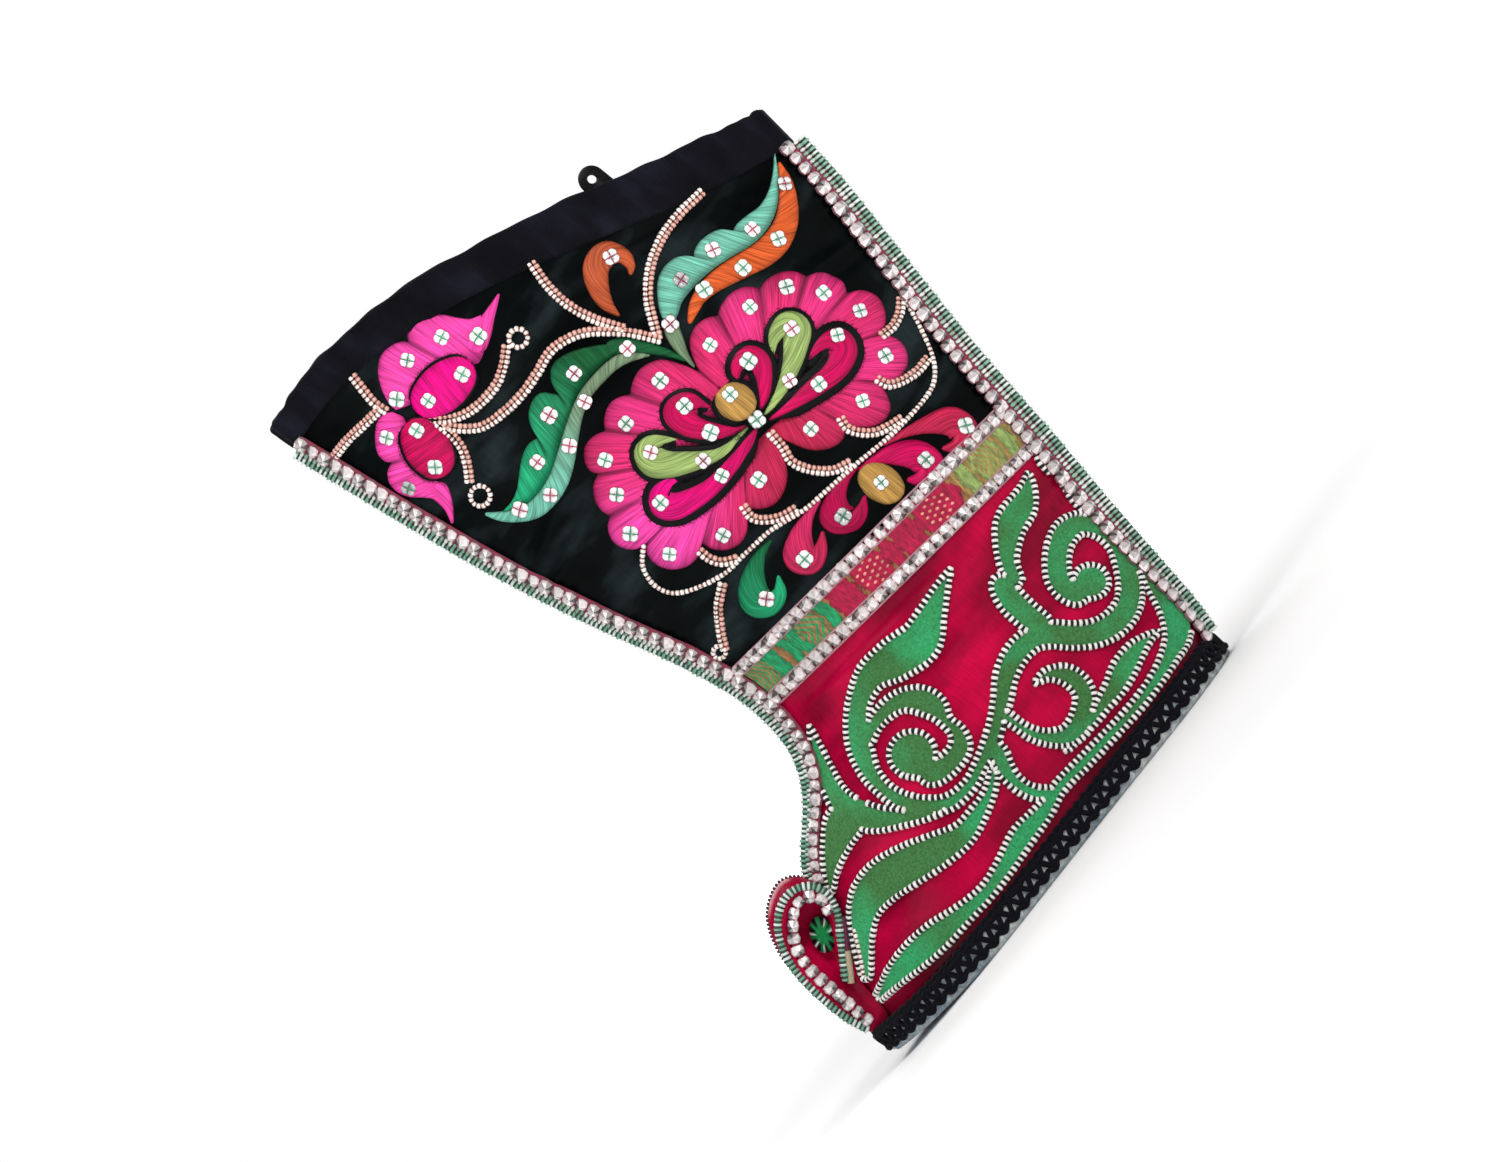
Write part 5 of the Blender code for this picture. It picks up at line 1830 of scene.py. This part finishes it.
EDGINGS = (
    # name, seam, first level, lift of the ridge cord, shares of the arc to braid and ladder, wrap finish
    ("front_edging", FRONT_SEAM, 79.0, 3.0, 0.74, 0.3, "ridge_green"),
    ("back_edging", BACK_SEAM, 16.2, 4.2, 0.94, 0.4, "ridge_pale"),
)
EDGING_END = 366.0
EDGING_ARC = 10.5
EDGING_SEAT = 0.7
EDGING_PROFILE = np.array((
    # share of the arc, thickness
    (-1.0, 0.0), (-0.99, 0.8), (-0.88, 1.6), (-0.6, 1.8), (-0.32, 2.0), (-0.2, 2.4), (0.0, 2.5),
    (0.2, 2.4), (0.32, 2.0), (0.6, 1.8), (0.88, 1.6), (0.99, 0.8), (1.0, 0.0),
))
BRAID_LIFT = 1.5
BRAID_SIZE = (6.2, 8.2, 4.8)
RIDGE_CORE = 4.0
RIDGE_WRAP = (2.0, 5.4, 5.2)
LADDER_LIFT = 2.1
LADDER_WRAP = (1.9, 5.0, 2.4)


class BOOT_OT_edgings(bpy.types.Operator):
    """Foil braids and wrapped cord on the front and back seams"""

    bl_idname = "boot.add_edgings"
    bl_label = "Seam edgings"

    def execute(self, context):
        """Builds the edging strips, the braids and the cords."""
        sizes = context.scene.boot_sizes
        puff = faceted_puff("fold_shape")
        wrap = rounded_barrel("ridge_shape", 3, 8)
        for name, seam, start, lift, braid_share, ladder_share, wraps in EDGINGS:
            level = np.linspace(start, EDGING_END, 140)
            reach = np.array([seam_arc(height, seam, EDGING_ARC) for height in level])

            def over(share, out):
                return cloth(seam + share * reach, level, EDGING_SEAT + out)

            def rows_at(out, *shares):
                return ([over(share, out) for share in shares],
                        [surface_normals(seam + share * reach, level) for share in shares])

            outer = [over(share, thickness) for share, thickness in EDGING_PROFILE]
            inner = [over(share * 0.99, 0.0) for share in EDGING_PROFILE[::-1, 0]]
            strip = closed_ends(np.stack(outer + inner, axis=1))
            sew(f"{name}_strip", "stitch_pink", "foil_edging", (name,), strip)
            braid = rows_at(BRAID_LIFT, -braid_share, braid_share)
            row(f"{name}_braid", "foil", "foil_edging", puff, sizes.braid_pitch, BRAID_SIZE, *braid, math.pi)
            ridge = rows_at(lift, 0.0)
            cord(f"{name}_cord", "ridge_core", "boss_thread", RIDGE_CORE * MM, *ridge, 8)
            row(f"{name}_cord_wraps", wraps, "boss_thread", wrap, sizes.wrap_pitch, RIDGE_WRAP, *ridge)
            ladder = rows_at(LADDER_LIFT, -ladder_share, ladder_share)
            row(f"{name}_ladder", wraps, "boss_thread", wrap, sizes.wrap_pitch, LADDER_WRAP, *ladder)
        discard(puff, wrap)
        return {"FINISHED"}


TOE_STEPS = 14
TOE_BANDS = (
    # name, threads of the core and wraps, core width, wrap size, lift, route on the near face
    ("rim_cord", ("ridge_core", "ridge_green"), 3.2, (2.1, 4.0, 3.8), 0.0,
     ((241.0, 22.5), (242.6, 32), (242.9, 43), (242.2, 55), (240.4, 66), (236.7, 75.6), (231, 83.7),
      (223.7, 89), (216.2, 91), (209.4, 89.2), (204.6, 84.4), (203, 78.1), (204.2, 72.5), (208.1, 66.2),
      (213.7, 60.6), (220, 54.4), (225.6, 48.7), (229, 45))),
    ("braid", ("stitch_pink", "foil"), 2.4, (5.3, 6.2, 4.6), 0.2,
     ((237.4, 25.5), (237, 36), (236.4, 46), (235.8, 56), (234.6, 65), (230.6, 74), (225, 79.6),
      (217.5, 84.4), (211, 84.2), (207.6, 80), (207, 75.5), (208.6, 72))),
    ("leg_canvas", ("canvas", ""), 3.4, None, -0.4, ((228.6, 42), (225.2, 45.4), (221.4, 49.4), (218, 53))),
    ("leg_thread", ("purple_thread", ""), 3.0, None, -0.4, ((218, 53), (212.4, 58.4), (206.6, 64.6))),
)
# Painted shade in the hollow, a dark sheet around the button: shares of the width that it stands out by, and
# its thickness
HOLLOW_SHADE_LIFTS = (0.03, 0.03, -0.04)
HOLLOW_SHADE_THICKNESS = 0.6
# Beads on the crest: first and last knot of the outline, pitch and size
CREST_KNOTS = (2.6, 6.4)
CREST_PITCH = 1.9
CREST_BEAD = (1.7, 2.4, 2.0)
# Colours of a thread-wound button
BUTTON_GREEN = srgb(14, 122, 64)
BUTTON_WHITE = srgb(206, 210, 202)
BUTTON_DARK = srgb(20, 12, 22)


def toe_roll_outline():
    """The rolled toe's outline as a smooth closed curve: x, z, half width, bulge and opening."""
    count = len(TOE_ROLL_OUTLINE)
    rows = []
    for i in range(count):
        before, start, end, after = (TOE_ROLL_OUTLINE[(i + k) % count] for k in (-1, 0, 1, 2))
        bend = 2 * before - 5 * start + 4 * end - after
        turn = 3 * (start - end) + after - before
        for t in np.arange(TOE_STEPS) / TOE_STEPS:
            rows.append(start + 0.5 * t * (end - before + t * (bend + t * turn)))
    return np.array(rows)


def toe_roll_ring(outline, reach, width, bulge):
    """One ring of the rolled toe; the width's sign gives the side."""
    spokes = outline[:, :2] - TOE_ROLL_CENTRE
    opening = outline[:, 4:5]
    place = TOE_ROLL_CENTRE + spokes * reach * (opening + (1 - opening) * min(reach, 1.0) ** 3)
    place += unit(spokes) * bulge * outline[:, 3:4]
    return np.stack((place[:, 0], width * outline[:, 2], place[:, 1]), axis=1)


def toe_band(outline, route, lift):
    """A path over the near face, as far out as the roll is wide beside it, and its outward directions."""
    flat = smooth_path(route, ROUTE_STEP)
    weight = (np.linalg.norm(flat[:, None, :2] - outline[None, :, :2], axis=2) + 1.0) ** -4
    width = weight @ outline[:, 2] / weight.sum(axis=1)
    path = points_of(flat[:, 0], width + lift, flat[:, 1])
    return path, np.tile((0.0, 1.0, 0.0), (len(path), 1))


class BOOT_OT_rolled_toe(bpy.types.Operator):
    """Rolled toe with its cords, braid and buttons"""

    bl_idname = "boot.add_rolled_toe"
    bl_label = "Rolled toe"

    def execute(self, context):
        """Builds the roll and its trims."""
        outline = toe_roll_outline()
        half = [toe_roll_ring(outline, reach, -width, bulge) for reach, width, bulge in TOE_ROLL_RINGS]
        whole = half + [ring * (1, -1, 1) for ring in half[-2::-1]]
        sew("toe_roll", "crimson_satin", "crimson_satin", ("toe_scroll",), np.array(whole))
        # Painted shade: a dark sheet of purple thread over the middle of the hollow, around the button
        hollow_shade = [toe_roll_ring(outline, reach, width + lift, 0.0)
                  for (reach, width, _), lift in zip(TOE_ROLL_RINGS, HOLLOW_SHADE_LIFTS)]
        hollow_shade += [ring - (0, HOLLOW_SHADE_THICKNESS, 0) for ring in hollow_shade[::-1]]
        sew("toe_lining", "purple_thread", "boss_thread", (), np.array(hollow_shade), mirror=True)

        wrap = rounded_barrel("toe_wrap_shape", 3, 8)
        puff = faceted_puff("toe_fold_shape")
        for name, (core, wraps), core_width, size, lift, route in TOE_BANDS:
            band = both_sides(*zip(toe_band(outline, route, lift)))
            cord(f"toe_{name}", core, "boss_thread", core_width * MM, *band, 8)
            if size:
                shape, turn = (puff, QUARTER) if wraps == "foil" else (wrap, 0.0)
                row(f"toe_{name}_wraps", wraps, "foil_edging", shape, size[0] * 1.1 * MM, size, *band, turn)
        first, last = (int(knot * TOE_STEPS) for knot in CREST_KNOTS)
        ridge = toe_roll_ring(outline, 1.01, 0.0, 1.15)[first:last]
        up = unit(ridge - (TOE_ROLL_CENTRE[0], 0.0, TOE_ROLL_CENTRE[1]))
        row("toe_crest_beads", "purple_thread", "boss_thread", wrap, CREST_PITCH * MM, CREST_BEAD,
            [ridge], [up])
        discard(wrap, puff)

        turn = circle_turns(48)
        tilt = np.linspace(0, math.pi, 15)[:, None]
        ball = points_of(np.sin(tilt) * np.cos(turn), np.cos(tilt), np.sin(tilt) * np.sin(turn))
        spin = np.array(Matrix.Rotation(TOE_BUTTON_TILT, 3, "Y"))
        button = (ball * TOE_BUTTON_SIZE) @ spin.T + (TOE_ROLL_CENTRE[0], TOE_BUTTON_Y, TOE_ROLL_CENTRE[1])
        uv = points_of(turn * 4, tilt * 4)
        spoke = np.sin(turn * 9) + 0.6 * np.sin(turn * 23 + 1)
        rim = tilt > TOE_BUTTON_EYE
        colour = np.where((rim & (spoke > 0.9))[..., None], BUTTON_WHITE, BUTTON_GREEN)
        colour = np.where((rim & (spoke < 0.1))[..., None], BUTTON_DARK, colour)
        for name, side in SIDES:
            sew(f"toe_button_{name}", "silk", "boss_thread", (f"toe_boss_{name}",), button * (1, side, 1),
                uv=uv, colour=colour)
        return {"FINISHED"}


class BOOT_OT_pull_tab(bpy.types.Operator):
    """Black tab with a round eye inside the collar"""

    bl_idname = "boot.add_pull_tab"
    bl_label = "Pull tab"

    def execute(self, context):
        """Builds the tab from a filled outline with a rounded edge."""
        theta = np.arccos(share_along(np.array((PULL_ALONG,)), COLLAR_LEVEL))
        normal = Vector(surface_normals(theta, COLLAR_LEVEL)[0])
        up = (Vector((0.0, 0.0, 1.0)) - normal * normal.z).normalized()
        across = up.cross(normal)
        seat = -WALL - PULL_GAP - PULL_THICKNESS / 2
        centre = Vector(to_metres(bare_surface(theta, COLLAR_LEVEL))[0]) + normal * seat * MM
        radius = PULL_WIDTH / 2 - PULL_BEVEL
        hole = PULL_HOLE + PULL_BEVEL
        foot = PULL_BEVEL - PULL_BELOW
        top = PULL_ABOVE - PULL_WIDTH / 2
        arc = [math.pi * k / 24 for k in range(25)]
        outline = [(-radius, foot), (radius, foot)]
        outline += [(radius * math.cos(a), top + radius * math.sin(a)) for a in arc]
        eye = [(hole * math.cos(2 * a), top + hole * math.sin(2 * a)) for a in arc[:-1]]
        curve = bpy.data.curves.new("pull_tab", "CURVE")
        curve.dimensions = "2D"
        curve.fill_mode = "BOTH"
        curve.extrude = (PULL_THICKNESS / 2 - PULL_BEVEL) * MM
        curve.bevel_depth = PULL_BEVEL * MM
        curve.bevel_resolution = 3
        for places in (outline, eye):
            spline = curve.splines.new("POLY")
            spline.points.add(len(places) - 1)
            for point, (u, v) in zip(spline.points, places):
                point.co = (u * MM, v * MM, 0.0, 1.0)
            spline.use_cyclic_u = True
        source = bpy.data.objects.new("pull_tab_source", curve)
        bpy.context.scene.collection.objects.link(source)
        depsgraph = bpy.context.evaluated_depsgraph_get()
        mesh = bpy.data.meshes.new_from_object(source.evaluated_get(depsgraph))
        bpy.data.objects.remove(source)
        basis = Matrix((across, up, across.cross(up))).transposed().to_4x4()
        mesh.transform(Matrix.Translation(centre) @ basis)
        weld(mesh)
        mesh.shade_smooth()
        mesh.set_sharp_from_angle(angle=math.radians(50))
        settle(add_piece("pull_tab", mesh, finish("tab_plastic")), "tab_plastic", "pull_loop")
        return {"FINISHED"}


LIGHTS = (
    # name, place, size, power
    ("key", (-0.9, 1.9, 1.5), 1.0, 30.0),
    ("fill", (1.3, 1.7, 0.7), 1.2, 9.0),
    ("top", (0.1, 0.2, 2.4), 2.2, 44.0),
    ("rear", (0.2, -1.9, 1.3), 1.6, 22.0),
)
WORLD_LIGHT = 0.08
FLOOR_HALF = 8.0


class BOOT_OT_stage(bpy.types.Operator):
    """Pale floor, soft light and the photo's camera"""

    bl_idname = "boot.add_stage"
    bl_label = "Stage"

    def execute(self, context):
        """Sets the floor, light and camera."""
        scene = context.scene
        mesh = bpy.data.meshes.new("floor")
        corners = [(x * FLOOR_HALF, y * FLOOR_HALF, 0) for x, y in ((-1, -1), (1, -1), (1, 1), (-1, 1))]
        mesh.from_pydata(corners, [], [(0, 1, 2, 3)])
        floor = add_piece("floor", mesh, finish("floor"))
        target = Vector(to_metres([VIEW_TARGET])[0])
        for name, place, width, power in LIGHTS:
            light = bpy.data.lights.new(name, "AREA")
            light.shape = "DISK"
            light.size = width
            light.energy = power
            lamp = bpy.data.objects.new(name, light)
            lamp.location = place
            lamp.rotation_euler = (Vector(place) - target).to_track_quat("Z", "Y").to_euler()
            scene.collection.objects.link(lamp)
        world = bpy.data.worlds.new("studio")
        world.use_nodes = True
        nodes = Nodes(world.node_tree)
        background = world.node_tree.nodes["Background"]
        background.inputs["Color"].default_value = (1.0, 1.0, 1.0, 1.0)
        seen = nodes.add("ShaderNodeLightPath").outputs["Is Camera Ray"]
        glow = nodes.add("ShaderNodeMapRange", Value=seen, To_Min=WORLD_LIGHT)
        nodes.put(background, "Strength", glow.outputs[0])
        scene.world = world
        scene.view_settings.view_transform = "Standard"

        lens = bpy.data.cameras.new("camera")
        lens.sensor_width = SENSOR
        lens.lens = SENSOR * VIEW_DISTANCE / FRAME_WIDTH
        camera = bpy.data.objects.new("camera", lens)
        right = Vector((-math.cos(VIEW_ROLL), 0.0, -math.sin(VIEW_ROLL)))
        up = Vector((-math.sin(VIEW_ROLL), 0.0, math.cos(VIEW_ROLL)))
        facing = Matrix((right, up, right.cross(up))).transposed().to_4x4()
        camera.matrix_world = Matrix.Translation(target + Vector((0.0, VIEW_DISTANCE, 0.0))) @ facing
        scene.collection.objects.link(camera)
        scene.camera = camera
        return {"FINISHED"}


class BOOT_PT_panel(bpy.types.Panel):
    """Sidebar panel with the boot's sizes, colours and pieces"""

    bl_label = "Embroidered boot"
    bl_idname = "BOOT_PT_panel"
    bl_space_type = "VIEW_3D"
    bl_region_type = "UI"
    bl_category = "Boot"

    def draw(self, context):
        """Lists the sizes, the colours and a button for each operator."""
        for group in (context.scene.boot_sizes, context.scene.boot_colours):
            box = self.layout.box()
            for name in group.__annotations__:
                box.prop(group, name)
        for operator in OPERATORS:
            self.layout.operator(operator.bl_idname)


OPERATORS = (
    BOOT_OT_sole,
    BOOT_OT_cloth,
    BOOT_OT_scrolls,
    BOOT_OT_embroidery,
    BOOT_OT_ankle_bands,
    BOOT_OT_edgings,
    BOOT_OT_rolled_toe,
    BOOT_OT_pull_tab,
    BOOT_OT_stage,
)
CLASSES = (BootSizes, BootColours, *OPERATORS, BOOT_PT_panel)


def register():
    """Adds the classes and the scene's settings."""
    for item in CLASSES:
        bpy.utils.register_class(item)
    bpy.types.Scene.boot_sizes = bpy.props.PointerProperty(type=BootSizes)
    bpy.types.Scene.boot_colours = bpy.props.PointerProperty(type=BootColours)


def unregister():
    """Removes the scene's settings and the classes."""
    del bpy.types.Scene.boot_colours
    del bpy.types.Scene.boot_sizes
    for item in reversed(CLASSES):
        bpy.utils.unregister_class(item)


def main():
    """Builds the boot and the stage."""
    register()
    bpy.ops.boot.add_sole()
    bpy.ops.boot.add_cloth()
    bpy.ops.boot.add_scrolls()
    bpy.ops.boot.add_embroidery()
    bpy.ops.boot.add_ankle_bands()
    bpy.ops.boot.add_edgings()
    bpy.ops.boot.add_rolled_toe()
    bpy.ops.boot.add_pull_tab()
    bpy.ops.boot.add_stage()


if __name__ == "__main__":
    main()
